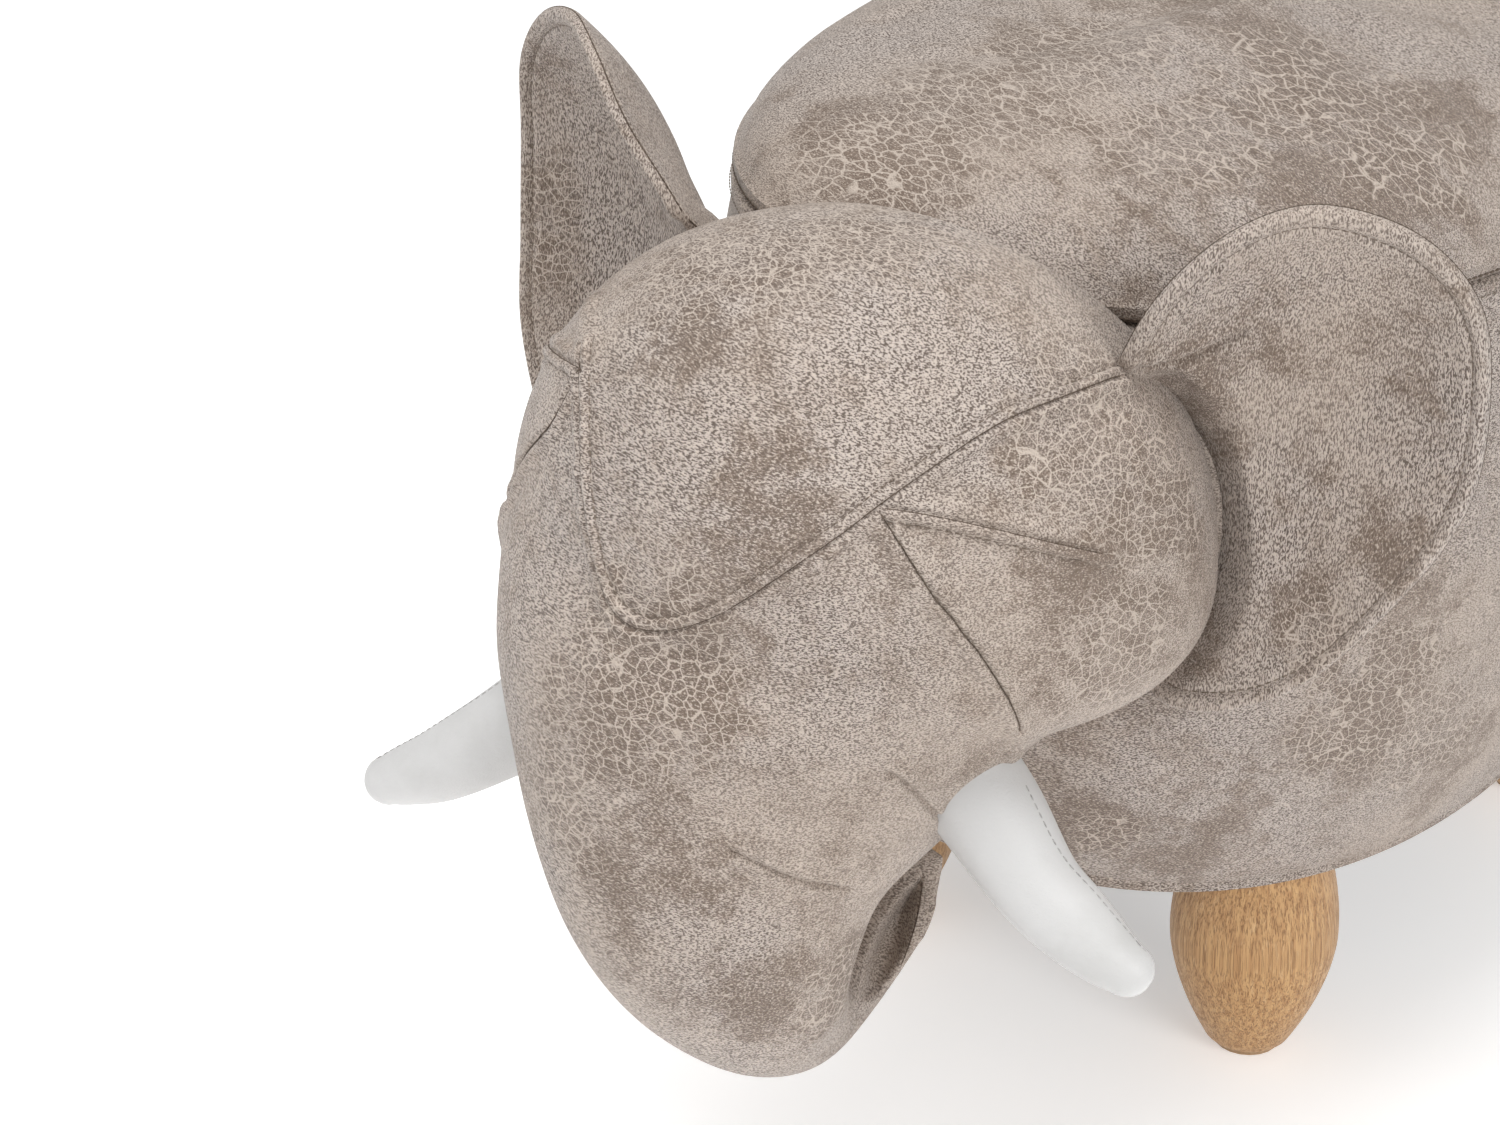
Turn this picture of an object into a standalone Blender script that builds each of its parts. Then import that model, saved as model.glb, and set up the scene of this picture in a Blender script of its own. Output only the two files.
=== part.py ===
"""Elephant storage pouf: an upholstered plywood box on turned legs, with a stuffed head and a hinged lid.

Metres, +Z up. The elephant faces -Y and its left side is +X. The origin is under the bounding box's middle.
"""

from math import cos, pi, radians, sin, tau

import bmesh
import bpy
from mathutils import Matrix, Vector

# Clearances
SEAT_GAP = 0.0003          # between pieces that rest on or fit each other
LID_CLEARANCE = 0.0012     # between the lid and the head in front of it

# Body: a barrel with a round front, a flatter rear, and a seam where the lid parts from it
BODY_Y = 0.0681            # middle of the body, behind the origin
BODY_LENGTH = 0.488
BODY_WIDTH = 0.352
BODY_BOTTOM = 0.087
BELLY_RISE = 0.152         # from the bottom edge to the widest part
SEAM_RISE = 0.105          # from the widest part to the lid seam
FRONT_POWER = 2.4          # roundness of the plan outline, 2 is an ellipse
REAR_POWER = 3.2
BOTTOM_DRAW_SIDE = 0.034   # how far the cover is drawn in at the bottom edge
BOTTOM_DRAW_END = 0.060
SEAM_DRAW_SIDE = 0.008     # and at the lid seam
SEAM_DRAW_END = 0.014
DRAW_POWER = 2.4
LOWER_RINGS = (0.0, 0.07, 0.22, 0.5, 1.0)   # outlines of the cover, as shares of its two rises
UPPER_RINGS = (0.5, 0.85, 1.0)

# Plywood box
PANEL_PLY = 0.009
BASE_PLY = 0.012
BASE_RISE = 0.013          # underside of the base board above the bottom edge
BASE_MARGIN = 0.006        # padding round the base board's edge
SIDE_FOAM = 0.064          # padding from the box to the widest part of the cover
END_FOAM = 0.096
CORNER_BLOCK = 0.024       # legs of the triangular corner blocks
LINING = 0.0010            # non-woven cloth
DUST_CLOTH = 0.0008
DUST_MARGIN = 0.004

# Rear rail that carries the hinges
RAIL_END = 0.009           # wood beyond the hinges
RAIL_HEIGHT = 0.030
RAIL_COVER = 0.012         # padding behind the rail

# Lid
LID_CROWN = 0.056
LID_SIDE_POWER = 2.5       # how upright the lid's sides stand
LID_TOP_POWER = 2.1        # how flat its top is
LID_PLY = 0.012
LID_BOARD_MARGIN = 0.010
LID_LINING_INSET = 0.003

# Butt hinges
HINGE_SPREAD = 0.110       # between the middles of the two hinges
HINGE_WIDTH = 0.042
HINGE_LEAF = 0.034         # from the pin to the end of a leaf
HINGE_PLATE = 0.0015
KNUCKLE_RADIUS = 0.0034
PIN_RADIUS = 0.0015
PIN_HEAD_RADIUS = 0.0028
PIN_HEAD = 0.0012
KNUCKLE_GAP = 0.0004
HINGE_CLEAR = 0.0012       # knuckles behind the rear edge of the seam
SCREW_HEAD_RADIUS = 0.0030
SCREW_RADIUS = 0.0015
SCREW_HEAD = 0.0012
SCREW_LENGTH = 0.0090
SCREW_EDGE = 0.009         # from the ends of a leaf to its two screws
SCREW_SHARE = 0.65         # how far along a leaf they stand

# Legs
LEG_FRONT_INSET = 0.129    # from the front, rear and sides of the body to the middle of a leg
LEG_REAR_INSET = 0.104
LEG_SIDE_INSET = 0.088
LEG_BELLY_RADIUS = 0.0333
LEG_BELLY_HEIGHT = 0.053
LEG_FOOT_RADIUS = 0.0160
LEG_TOP_RADIUS = 0.0245
LEG_LOWER_POWER = 1.7      # roundness of the barrel below and above its belly
LEG_UPPER_POWER = 2.0
GLIDE_RADIUS = 0.0130
GLIDE_HEIGHT = 0.0030
BOLT_RADIUS = 0.0040
BOLT_DEPTH = 0.030         # length of the bolt inside the leg
TEE_RADIUS = 0.0058
TEE_FLANGE_RADIUS = 0.0100
TEE_FLANGE = 0.0016

# Head
HEAD_STANDOFF = 0.018      # head's middle ahead of the body's front
HEAD_RISE = 0.019          # and above the body's widest part
HEAD_HALF_WIDTH = 0.131    # from the middle to the left cheek
HEAD_RIGHT_FULL = 0.010    # how much fuller the right cheek is stuffed
HEAD_FRONT = 0.120
HEAD_BACK = 0.120
HEAD_UP = 0.120
HEAD_DOWN = 0.057
HEAD_PLAN_POWER = 1.85     # roundness seen from above
HEAD_TOP_POWER = 2.17      # and of its brow and jaw
HEAD_JAW_POWER = 2.05

# Trunk: stations of its middle line, ahead of and above the head's middle, with half width, half depth
# and how far it leans to the left
TRUNK_STATIONS = (
    (0.0385, -0.0085, 0.118, 0.080, -0.008),
    (0.063, -0.051, 0.096, 0.078, -0.0135),
    (0.083, -0.087, 0.0735, 0.058, -0.013),
    (0.0885, -0.115, 0.0585, 0.050, -0.005),
    (0.082, -0.1405, 0.048, 0.036, 0.0),
    (0.0595, -0.162, 0.0375, 0.0285, 0.0),
    (0.029, -0.1615, 0.034, 0.0165, 0.0),
    (0.0095, -0.145, 0.038, 0.011, 0.0),
    (-0.001, -0.1275, 0.034, 0.008, 0.0),
)

# Tusks: stations beyond the left cheek, ahead of and above the head's middle, with radius.
# Each hangs its own way
TUSK_STATIONS_LEFT = (
    (-0.069, 0.046, -0.0400, 0.0195),
    (-0.046, 0.050, -0.0580, 0.0188),
    (-0.023, 0.056, -0.0755, 0.0156),
    (-0.006, 0.058, -0.0845, 0.0142),
    (0.007, 0.0585, -0.0910, 0.0118),
    (0.015, 0.0575, -0.0950, 0.0095),
)
TUSK_STATIONS_RIGHT = (
    (-0.069, 0.056, -0.0400, 0.0195),
    (-0.045, 0.070, -0.0610, 0.0188),
    (-0.023, 0.082, -0.0790, 0.0162),
    (-0.003, 0.088, -0.0940, 0.0140),
    (0.012, 0.091, -0.1025, 0.0115),
    (0.020, 0.093, -0.1065, 0.0095),
)

# Ears: pads turned outward and cupped forward
EAR_ROOT_IN = 0.031        # root inside the left cheek
EAR_BACK = 0.031           # and behind the head's middle
EAR_TURN_LEFT = 30.0       # degrees that the ear's face is turned outward
EAR_TURN_RIGHT = 23.0
EAR_SPREAD_LEFT = 1.03     # how wide the ear is stretched
EAR_SPREAD_RIGHT = 0.952
EAR_RISE_LEFT = 0.052      # middle above the head's middle
EAR_RISE_RIGHT = 0.062
EAR_MIDDLE_OUT = 0.046     # and out from the root
EAR_SINK = 0.016           # hollow of the middle behind the root
EAR_THICK = 0.012
EAR_EDGE = 0.007
EAR_RIM_POWER = 4.0        # how late the pad thins towards its rim
EAR_CUP_POWER = 2.2        # how late it bends forward

# Rims of the ears: stations out from the root, above the ear's middle and forward of the root
EAR_RIM_LEFT = (
    (-0.014, 0.036, 0.012),
    (-0.001, 0.065, 0.017),
    (0.020, 0.086, 0.016),
    (0.045, 0.094, 0.013),
    (0.075, 0.085, 0.012),
    (0.095, 0.064, 0.013),
    (0.101, 0.035, 0.014),
    (0.098, -0.007, 0.015),
    (0.078, -0.045, 0.015),
    (0.047, -0.082, 0.013),
    (0.014, -0.095, 0.008),
    (-0.006, -0.083, 0.002),
    (-0.017, -0.045, -0.004),
    (-0.020, 0.000, 0.000),
)
EAR_RIM_RIGHT = (
    (-0.014, 0.036, 0.014),
    (0.008, 0.065, 0.024),
    (0.029, 0.086, 0.025),
    (0.052, 0.094, 0.022),
    (0.080, 0.085, 0.020),
    (0.099, 0.064, 0.018),
    (0.104, 0.035, 0.016),
    (0.103, -0.007, 0.018),
    (0.092, -0.045, 0.024),
    (0.064, -0.082, 0.026),
    (0.026, -0.098, 0.018),
    (-0.004, -0.086, 0.006),
    (-0.017, -0.045, 0.000),
    (-0.020, 0.000, 0.002),
)

# Neck block and its bolts
NECK_WIDTH = 0.090
NECK_TALL = 0.070
NECK_DROP = 0.002          # below the head's middle
NECK_IN_HEAD = 0.050       # length beyond the front of the body
NECK_BOLT_RADIUS = 0.0040
NECK_BOLT_HEAD = 0.0080
NECK_BOLT_GRIP = 0.060     # thread inside the block
NECK_BOLT_PITCH = 0.036

# Tail
TAIL_RISE = 0.051          # root above the body's widest part
TAIL_LENGTH = 0.135
TAIL_ROOT_RADIUS = 0.0110
TAIL_END_RADIUS = 0.0065
TAIL_STANDOFF = 0.0066     # middle line off the rump at the root
TAIL_SWING = 0.010         # and how much further off it hangs
TUFT_LENGTH = 0.046
TUFT_RADIUS = 0.0125
TUFT_PROFILE = ((0.0, 0.55), (0.25, 0.9), (0.5, 1.0), (0.8, 0.7), (1.0, 0.25))   # shares of length, radius

# Facets
PLAN_POINTS = 48
HEAD_POINTS = 32
ROUND_POINTS = 20
SCREW_POINTS = 12
SHARP_ANGLE = 40.0         # degrees, edges above it are not smoothed

# Values worked out from the sizes above
BODY_HALF_LENGTH = BODY_LENGTH / 2
BODY_HALF_WIDTH = BODY_WIDTH / 2
BELLY_HEIGHT = BODY_BOTTOM + BELLY_RISE
SEAM_HEIGHT = BELLY_HEIGHT + SEAM_RISE
BOX_HALF_WIDTH = BODY_HALF_WIDTH - SIDE_FOAM
BOX_HALF_LENGTH = BODY_HALF_LENGTH - END_FOAM
BASE_HEIGHT = BODY_BOTTOM + BASE_RISE
BASE_TOP = BASE_HEIGHT + BASE_PLY
WELL_HALF_WIDTH = BOX_HALF_WIDTH - PANEL_PLY
WELL_HALF_LENGTH = BOX_HALF_LENGTH - PANEL_PLY
SEAM_HALF_WIDTH = BODY_HALF_WIDTH - SEAM_DRAW_SIDE
SEAM_HALF_LENGTH = BODY_HALF_LENGTH - SEAM_DRAW_END
LID_BOTTOM = SEAM_HEIGHT + SEAT_GAP
HINGE_Y = SEAM_HALF_LENGTH + KNUCKLE_RADIUS + HINGE_CLEAR
HINGE_Z = SEAM_HEIGHT + SEAT_GAP / 2
LEG_TOP = BASE_HEIGHT - DUST_CLOTH - 2 * SEAT_GAP
LEG_BOTTOM = GLIDE_HEIGHT + SEAT_GAP
LEG_PLACES = (("front", LEG_FRONT_INSET - BODY_HALF_LENGTH), ("rear", BODY_HALF_LENGTH - LEG_REAR_INSET))
LEG_OUT = BODY_HALF_WIDTH - LEG_SIDE_INSET
HEAD_AHEAD = BODY_HALF_LENGTH + HEAD_STANDOFF
HEAD_HEIGHT = BELLY_HEIGHT + HEAD_RISE
NECK_HEIGHT = HEAD_HEIGHT - NECK_DROP
TAIL_ROOT_HEIGHT = BELLY_HEIGHT + TAIL_RISE

for old in list(bpy.data.objects):
    bpy.data.objects.remove(old, do_unlink=True)


# Materials, one for each piece

FINISHES = {
    "hide": ((0.36, 0.29, 0.235), 0.62, 0.0),
    "ivory": ((0.80, 0.79, 0.77), 0.45, 0.0),
    "oak": ((0.52, 0.30, 0.13), 0.42, 0.0),
    "ply": ((0.60, 0.44, 0.26), 0.60, 0.0),
    "cloth": ((0.035, 0.035, 0.04), 0.90, 0.0),
    "steel": ((0.55, 0.55, 0.56), 0.35, 1.0),
    "felt": ((0.06, 0.05, 0.045), 0.95, 0.0),
}


def finish(obj, kind):
    """Give a piece its own material of one of the finishes."""
    colour, roughness, metallic = FINISHES[kind]
    material = bpy.data.materials.new(obj.name + "_" + kind)
    material.use_nodes = True
    shader = material.node_tree.nodes["Principled BSDF"]
    shader.inputs["Base Color"].default_value = (*colour, 1.0)
    shader.inputs["Roughness"].default_value = roughness
    shader.inputs["Metallic"].default_value = metallic
    material.diffuse_color = (*colour, 1.0)
    obj.data.materials.append(material)


# Shape helpers

def add_object(name, bm, smooth=True):
    """Turn a bmesh into an object with its faces pointing out."""
    bm.normal_update()
    bmesh.ops.recalc_face_normals(bm, faces=bm.faces)
    mesh = bpy.data.meshes.new(name)
    bm.to_mesh(mesh)
    bm.free()
    if smooth:
        mesh.shade_smooth()
        mesh.set_sharp_from_angle(angle=radians(SHARP_ANGLE))
    obj = bpy.data.objects.new(name, mesh)
    bpy.context.scene.collection.objects.link(obj)
    return obj


def place_on_body(points):
    """Move points from the body's middle to the world."""
    return [Vector((x, y + BODY_Y, z)) for x, y, z in points]


def loft(name, rings, smooth=True):
    """A closed solid through rings of equally many points. A ring of one point closes an end to a tip."""
    bm = bmesh.new()
    loops = [[bm.verts.new(p) for p in place_on_body(ring)] for ring in rings]
    for low, high in zip(loops, loops[1:]):
        count = max(len(low), len(high))
        for i in range(count):
            j = (i + 1) % count
            if len(low) == 1:
                bm.faces.new((low[0], high[j], high[i]))
            elif len(high) == 1:
                bm.faces.new((low[i], low[j], high[0]))
            else:
                bm.faces.new((low[i], low[j], high[j], high[i]))
    for end in (loops[0], loops[-1]):
        if len(end) > 1:
            bm.faces.new(end)
    return add_object(name, bm, smooth)


def block(name, low, high):
    """A box between two corners given from the body's middle."""
    bm = bmesh.new()
    bmesh.ops.create_cube(bm, size=1.0)
    low, high = place_on_body((low, high))
    middle = (low + high) / 2
    size = high - low
    for vert in bm.verts:
        vert.co = Vector((vert.co.x * size.x, vert.co.y * size.y, vert.co.z * size.z)) + middle
    return add_object(name, bm, smooth=False)


def circle(x, y, z, radius, count, axis="Z"):
    """Points of a circle round an axis."""
    turns = [tau * i / count for i in range(count)]
    if axis == "Z":
        return [(x + radius * cos(t), y + radius * sin(t), z) for t in turns]
    if axis == "Y":
        return [(x + radius * cos(t), y, z + radius * sin(t)) for t in turns]
    return [(x, y + radius * cos(t), z + radius * sin(t)) for t in turns]


def turned(name, x, y, profile, count=ROUND_POINTS):
    """A round piece on an upright axis, from pairs of height and radius."""
    return loft(name, [circle(x, y, z, r, count) for z, r in profile])


def signed_power(value, power):
    return abs(value) ** power * (1 if value >= 0 else -1)


def oval(half_width, half_length, z, count=PLAN_POINTS):
    """The body's plan outline: round in front, flatter behind."""
    points = []
    for i in range(count):
        turn = tau * i / count
        power = 2 / (FRONT_POWER if sin(turn) < 0 else REAR_POWER)
        x = half_width * signed_power(cos(turn), power)
        y = half_length * signed_power(sin(turn), power)
        points.append((x, y, z))
    return points


def cut(target, *cutters):
    """Cut pieces away from a target and hide what cuts."""
    for cutter in cutters:
        modifier = target.modifiers.new("cut", "BOOLEAN")
        modifier.operation = "DIFFERENCE"
        modifier.object = cutter
        hide(cutter)


def join(target, *others):
    """Make one solid of a target and what touches it."""
    for other in others:
        modifier = target.modifiers.new("join", "BOOLEAN")
        modifier.operation = "UNION"
        modifier.object = other
        hide(other)


def hide(guide):
    guide.hide_render = True
    guide.display_type = "WIRE"


def smooth_path(stations, steps):
    """Points of a curve that passes through every station."""
    points = []
    last = len(stations) - 1
    for i in range(last):
        before, start = Vector(stations[max(i - 1, 0)]), Vector(stations[i])
        end, after = Vector(stations[i + 1]), Vector(stations[min(i + 2, last)])
        for k in range(steps):
            t = k / steps
            square = 2 * before - 5 * start + 4 * end - after
            cube = 3 * start - before - 3 * end + after
            points.append(0.5 * (2 * start + (end - before) * t + square * t ** 2 + cube * t ** 3))
    points.append(Vector(stations[last]))
    return points


# Forms that other pieces are cut by, so each can be made a little larger

def draw_in(z):
    """How far the cover is drawn in from the widest outline at a height, at the sides and at the ends."""
    if z < BELLY_HEIGHT:
        share = ((BELLY_HEIGHT - z) / BELLY_RISE) ** DRAW_POWER
        return BOTTOM_DRAW_SIDE * share, BOTTOM_DRAW_END * share
    share = ((z - BELLY_HEIGHT) / SEAM_RISE) ** DRAW_POWER
    return SEAM_DRAW_SIDE * share, SEAM_DRAW_END * share


def body_outline(z, grow=0.0):
    side, end = draw_in(z)
    return oval(BODY_HALF_WIDTH - side + grow, BODY_HALF_LENGTH - end + grow, z)


def body_form(name, grow=0.0):
    """The padded barrel below the seam."""
    lower = [BODY_BOTTOM + BELLY_RISE * share for share in LOWER_RINGS]
    upper = [BELLY_HEIGHT + SEAM_RISE * share for share in UPPER_RINGS]
    return loft(name, [body_outline(z, grow) for z in lower + upper])


def lid_form(name):
    """The crowned lid above the seam."""
    steps = 11
    rings = []
    for i in range(steps):
        turn = pi / 2 * i / steps
        share = cos(turn) ** (2 / LID_SIDE_POWER)
        rise = sin(turn) ** (2 / LID_TOP_POWER)
        rings.append(oval(SEAM_HALF_WIDTH * share, SEAM_HALF_LENGTH * share, LID_BOTTOM + LID_CROWN * rise))
    rings.append([(0.0, 0.0, LID_BOTTOM + LID_CROWN)])
    return loft(name, rings)


def head_form(name, grow=0.0):
    """The head: a full round form, flatter on top than below."""
    steps = 14
    rings = [[(0.0, -HEAD_AHEAD, HEAD_HEIGHT - HEAD_DOWN - grow)]]
    power = 2 / HEAD_PLAN_POWER
    for i in range(1, steps):
        turn = -pi / 2 + pi * i / steps
        rise_power = 2 / (HEAD_TOP_POWER if turn > 0 else HEAD_JAW_POWER)
        share = cos(turn) ** rise_power
        rise = signed_power(sin(turn), rise_power)
        z = HEAD_HEIGHT + rise * ((HEAD_UP if rise > 0 else HEAD_DOWN) + grow)
        ring = []
        for k in range(HEAD_POINTS):
            way = tau * k / HEAD_POINTS
            reach = HEAD_FRONT if sin(way) < 0 else HEAD_BACK
            half_width = HEAD_HALF_WIDTH + (HEAD_RIGHT_FULL if cos(way) < 0 else 0.0)
            x = (half_width + grow) * share * signed_power(cos(way), power)
            y = -HEAD_AHEAD + (reach + grow) * share * signed_power(sin(way), power)
            ring.append((x, y, z))
        rings.append(ring)
    rings.append([(0.0, -HEAD_AHEAD, HEAD_HEIGHT + HEAD_UP + grow)])
    return loft(name, rings)


def trunk_form(name, grow=0.0):
    """The trunk: a tapering sweep in the middle plane that hooks back at its tip."""
    path = smooth_path(TRUNK_STATIONS, 3)
    rings = []
    for i, (ahead, z, half_width, half_depth, lean) in enumerate(path):
        before, after = path[max(i - 1, 0)], path[min(i + 1, len(path) - 1)]
        along = Vector((0.0, before[0] - after[0], after[1] - before[1])).normalized()
        normal = Vector((0.0, along.z, -along.y))
        ring = []
        for k in range(ROUND_POINTS):
            turn = tau * k / ROUND_POINTS
            across = lean + (half_width + grow) * cos(turn)
            lift = normal * (half_depth + grow) * sin(turn)
            ring.append((across, lift.y - HEAD_AHEAD - ahead, HEAD_HEIGHT + z + lift.z))
        rings.append(ring)
    return loft(name, rings)


def tusk_form(name, side, stations):
    """A tusk: a round taper that bows outward to a blunt tip."""
    path = smooth_path([(HEAD_HALF_WIDTH + beyond, *rest) for beyond, *rest in stations], 3)
    tip_steps = 3
    tip_turns = [pi / 2 * k / tip_steps for k in range(tip_steps)]
    rings = []
    for i, station in enumerate(path):
        before, after = path[max(i - 1, 0)], path[min(i + 1, len(path) - 1)]
        along = (after - before).to_3d().normalized()
        across = along.cross(Vector((0.0, 0.0, 1.0))).normalized()
        lift = across.cross(along)
        for tip_turn in tip_turns if i == len(path) - 1 else tip_turns[:1]:
            middle = station.to_3d() + along * station[3] * sin(tip_turn)
            ring = []
            for k in range(ROUND_POINTS):
                turn = tau * k / ROUND_POINTS
                spot = middle + (across * cos(turn) + lift * sin(turn)) * station[3] * cos(tip_turn)
                ring.append((side * spot.x, -(HEAD_AHEAD + spot.y), HEAD_HEIGHT + spot.z))
            rings.append(ring)
    tip = path[-1].to_3d() + along * path[-1][3]
    rings.append([(side * tip.x, -(HEAD_AHEAD + tip.y), HEAD_HEIGHT + tip.z)])
    return loft(name, rings)


def screw_form(name, x, y, z, up, grow=0.0):
    """A countersunk screw with its head flush at a height, pointing down or up."""
    way = 1 if up else -1
    profile = (
        (-grow, SCREW_HEAD_RADIUS + grow),
        (SCREW_HEAD, SCREW_RADIUS + grow),
        (SCREW_LENGTH + grow, SCREW_RADIUS + grow),
    )
    return loft(name, [circle(x, y, z + way * depth, r, SCREW_POINTS) for depth, r in profile])


# Plywood box

def make_box():
    """Base board, four panels and corner blocks, which make the storage well."""
    side, end = draw_in(BASE_HEIGHT)
    half_width = BODY_HALF_WIDTH - side - BASE_MARGIN
    half_length = BODY_HALF_LENGTH - end - BASE_MARGIN
    base = loft("base_board", [oval(half_width, half_length, z) for z in (BASE_HEIGHT, BASE_TOP)])
    finish(base, "ply")
    floor = BASE_TOP + SEAT_GAP
    inner = BOX_HALF_LENGTH - PANEL_PLY - SEAT_GAP
    panels = {
        "front_panel": (-BOX_HALF_WIDTH, BOX_HALF_WIDTH, -BOX_HALF_LENGTH, -WELL_HALF_LENGTH),
        "rear_panel": (-BOX_HALF_WIDTH, BOX_HALF_WIDTH, WELL_HALF_LENGTH, BOX_HALF_LENGTH),
        "left_panel": (WELL_HALF_WIDTH, BOX_HALF_WIDTH, -inner, inner),
        "right_panel": (-BOX_HALF_WIDTH, -WELL_HALF_WIDTH, -inner, inner),
    }
    made = {"base_board": base}
    for name, (left, right, front, rear) in panels.items():
        made[name] = block(name, (left, front, floor), (right, rear, SEAM_HEIGHT))
        finish(made[name], "ply")
    for end_name, y_way in (("front", -1), ("rear", 1)):
        for side_name, x_way in (("left", 1), ("right", -1)):
            x = x_way * (WELL_HALF_WIDTH - SEAT_GAP)
            y = y_way * (WELL_HALF_LENGTH - SEAT_GAP)
            plan = ((x, y), (x - x_way * CORNER_BLOCK, y), (x, y - y_way * CORNER_BLOCK))
            name = "corner_block_" + end_name + "_" + side_name
            rings = [[(px, py, z) for px, py in plan] for z in (floor, SEAM_HEIGHT - LINING)]
            finish(loft(name, rings, smooth=False), "ply")
    return made


def well_outline(inset, z):
    """Plan of the well inside its panels and corner blocks."""
    half_width = WELL_HALF_WIDTH - inset
    half_length = WELL_HALF_LENGTH - inset
    chamfer = CORNER_BLOCK + 2 * SEAT_GAP
    points = []
    for x_way, y_way in ((1, 1), (-1, 1), (-1, -1), (1, -1)):
        ends = [(x_way * half_width, y_way * (half_length - chamfer), z),
                (x_way * (half_width - chamfer), y_way * half_length, z)]
        points += ends if x_way == y_way else ends[::-1]
    return points


def make_linings(base_tools):
    """Cloth in the well, under the lid and under the base board."""
    outer = SEAT_GAP
    inner = SEAT_GAP + LINING
    floor = BASE_TOP + SEAT_GAP
    rim = SEAM_HEIGHT - 2 * LINING
    rings = [well_outline(outer, floor), well_outline(outer, rim), well_outline(inner, rim),
             well_outline(inner, floor + LINING)]
    finish(loft("well_lining", rings, smooth=False), "cloth")
    side, end = draw_in(BASE_HEIGHT)
    half_width = BODY_HALF_WIDTH - side - BASE_MARGIN - DUST_MARGIN
    half_length = BODY_HALF_LENGTH - end - BASE_MARGIN - DUST_MARGIN
    top = BASE_HEIGHT - SEAT_GAP
    dust = loft("dust_cover", [oval(half_width, half_length, z) for z in (top - DUST_CLOTH, top)])
    cut(dust, *base_tools)
    finish(dust, "cloth")


# Padding

def half_space(name, corner_x, corner_y, toward_end):
    """A large block whose face is the mitre plane through a corner of the box."""
    reach = BODY_LENGTH + BODY_WIDTH
    bm = bmesh.new()
    bmesh.ops.create_cube(bm, size=2 * reach)
    along = Vector((corner_x, corner_y, 0.0))
    along = Vector((1.0 if along.x > 0 else -1.0, 1.0 if along.y > 0 else -1.0, 0.0)).normalized()
    across = Vector((-along.y, along.x, 0.0))
    if (across.y * corner_y > 0) != toward_end:
        across = -across
    turn = Matrix((across, along, Vector((0.0, 0.0, 1.0)))).transposed()
    shift = Vector((corner_x, corner_y + BODY_Y, 0.0)) + across * (reach - SEAT_GAP / 2)
    for vert in bm.verts:
        vert.co = turn @ vert.co + shift
    return add_object(name, bm, smooth=False)


def make_pads(neck, rail, leaves):
    """Four pads round the box, mitred at its corners."""
    reach = BODY_HALF_LENGTH
    side, end = draw_in(BASE_HEIGHT)
    margin = BASE_MARGIN - SEAT_GAP
    base_hole = loft("base_hole", [oval(BODY_HALF_WIDTH - side - margin, BODY_HALF_LENGTH - end - margin, z)
                                   for z in (0.0, BASE_TOP + SEAT_GAP)])
    gap = SEAT_GAP
    box_hole = block("box_hole", (-BOX_HALF_WIDTH - gap, -BOX_HALF_LENGTH - gap, BASE_HEIGHT),
                     (BOX_HALF_WIDTH + gap, BOX_HALF_LENGTH + gap, SEAM_HEIGHT + reach))
    pads = {}
    for name, x_way, y_way in (("chest_pad", 0, -1), ("rump_pad", 0, 1), ("left_flank_pad", 1, 0),
                               ("right_flank_pad", -1, 0)):
        pad = body_form(name)
        corners = [(x, y) for x in (-1, 1) for y in (-1, 1) if x == x_way or y == y_way]
        cut(pad, box_hole, base_hole)
        for x, y in corners:
            guide = half_space(name + "_mitre", x * BOX_HALF_WIDTH, y * BOX_HALF_LENGTH, y_way == 0)
            cut(pad, guide)
        finish(pad, "hide")
        pads[name] = pad
    cut(pads["chest_pad"], neck)
    cut(pads["rump_pad"], rail, *leaves)
    return pads


# Lid, rail and hinges

def hinge_middles():
    return (("left", HINGE_SPREAD / 2), ("right", -HINGE_SPREAD / 2))


def screw_places(middle):
    """Where a leaf's two screws stand."""
    y = HINGE_Y - KNUCKLE_RADIUS - (HINGE_LEAF - KNUCKLE_RADIUS) * SCREW_SHARE
    half = HINGE_WIDTH / 2 - SCREW_EDGE
    return [(middle - half, y), (middle + half, y)]


def leaf_recess(name, middle, low, high):
    """Room for a leaf plate in the wood and padding round it."""
    return block(name, (middle - HINGE_WIDTH / 2 - SEAT_GAP, HINGE_Y - HINGE_LEAF - SEAT_GAP, low),
                 (middle + HINGE_WIDTH / 2 + SEAT_GAP, HINGE_Y + KNUCKLE_RADIUS, high))


def knuckle_room(name, middle):
    """Room for the knuckles at the rear edge of the seam."""
    radius = KNUCKLE_RADIUS + 2 * SEAT_GAP
    half = HINGE_WIDTH / 2 + PIN_HEAD + 3 * SEAT_GAP
    ends = (middle - half, middle + half)
    return loft(name, [circle(x, HINGE_Y, HINGE_Z, radius, ROUND_POINTS, "X") for x in ends])


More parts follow.
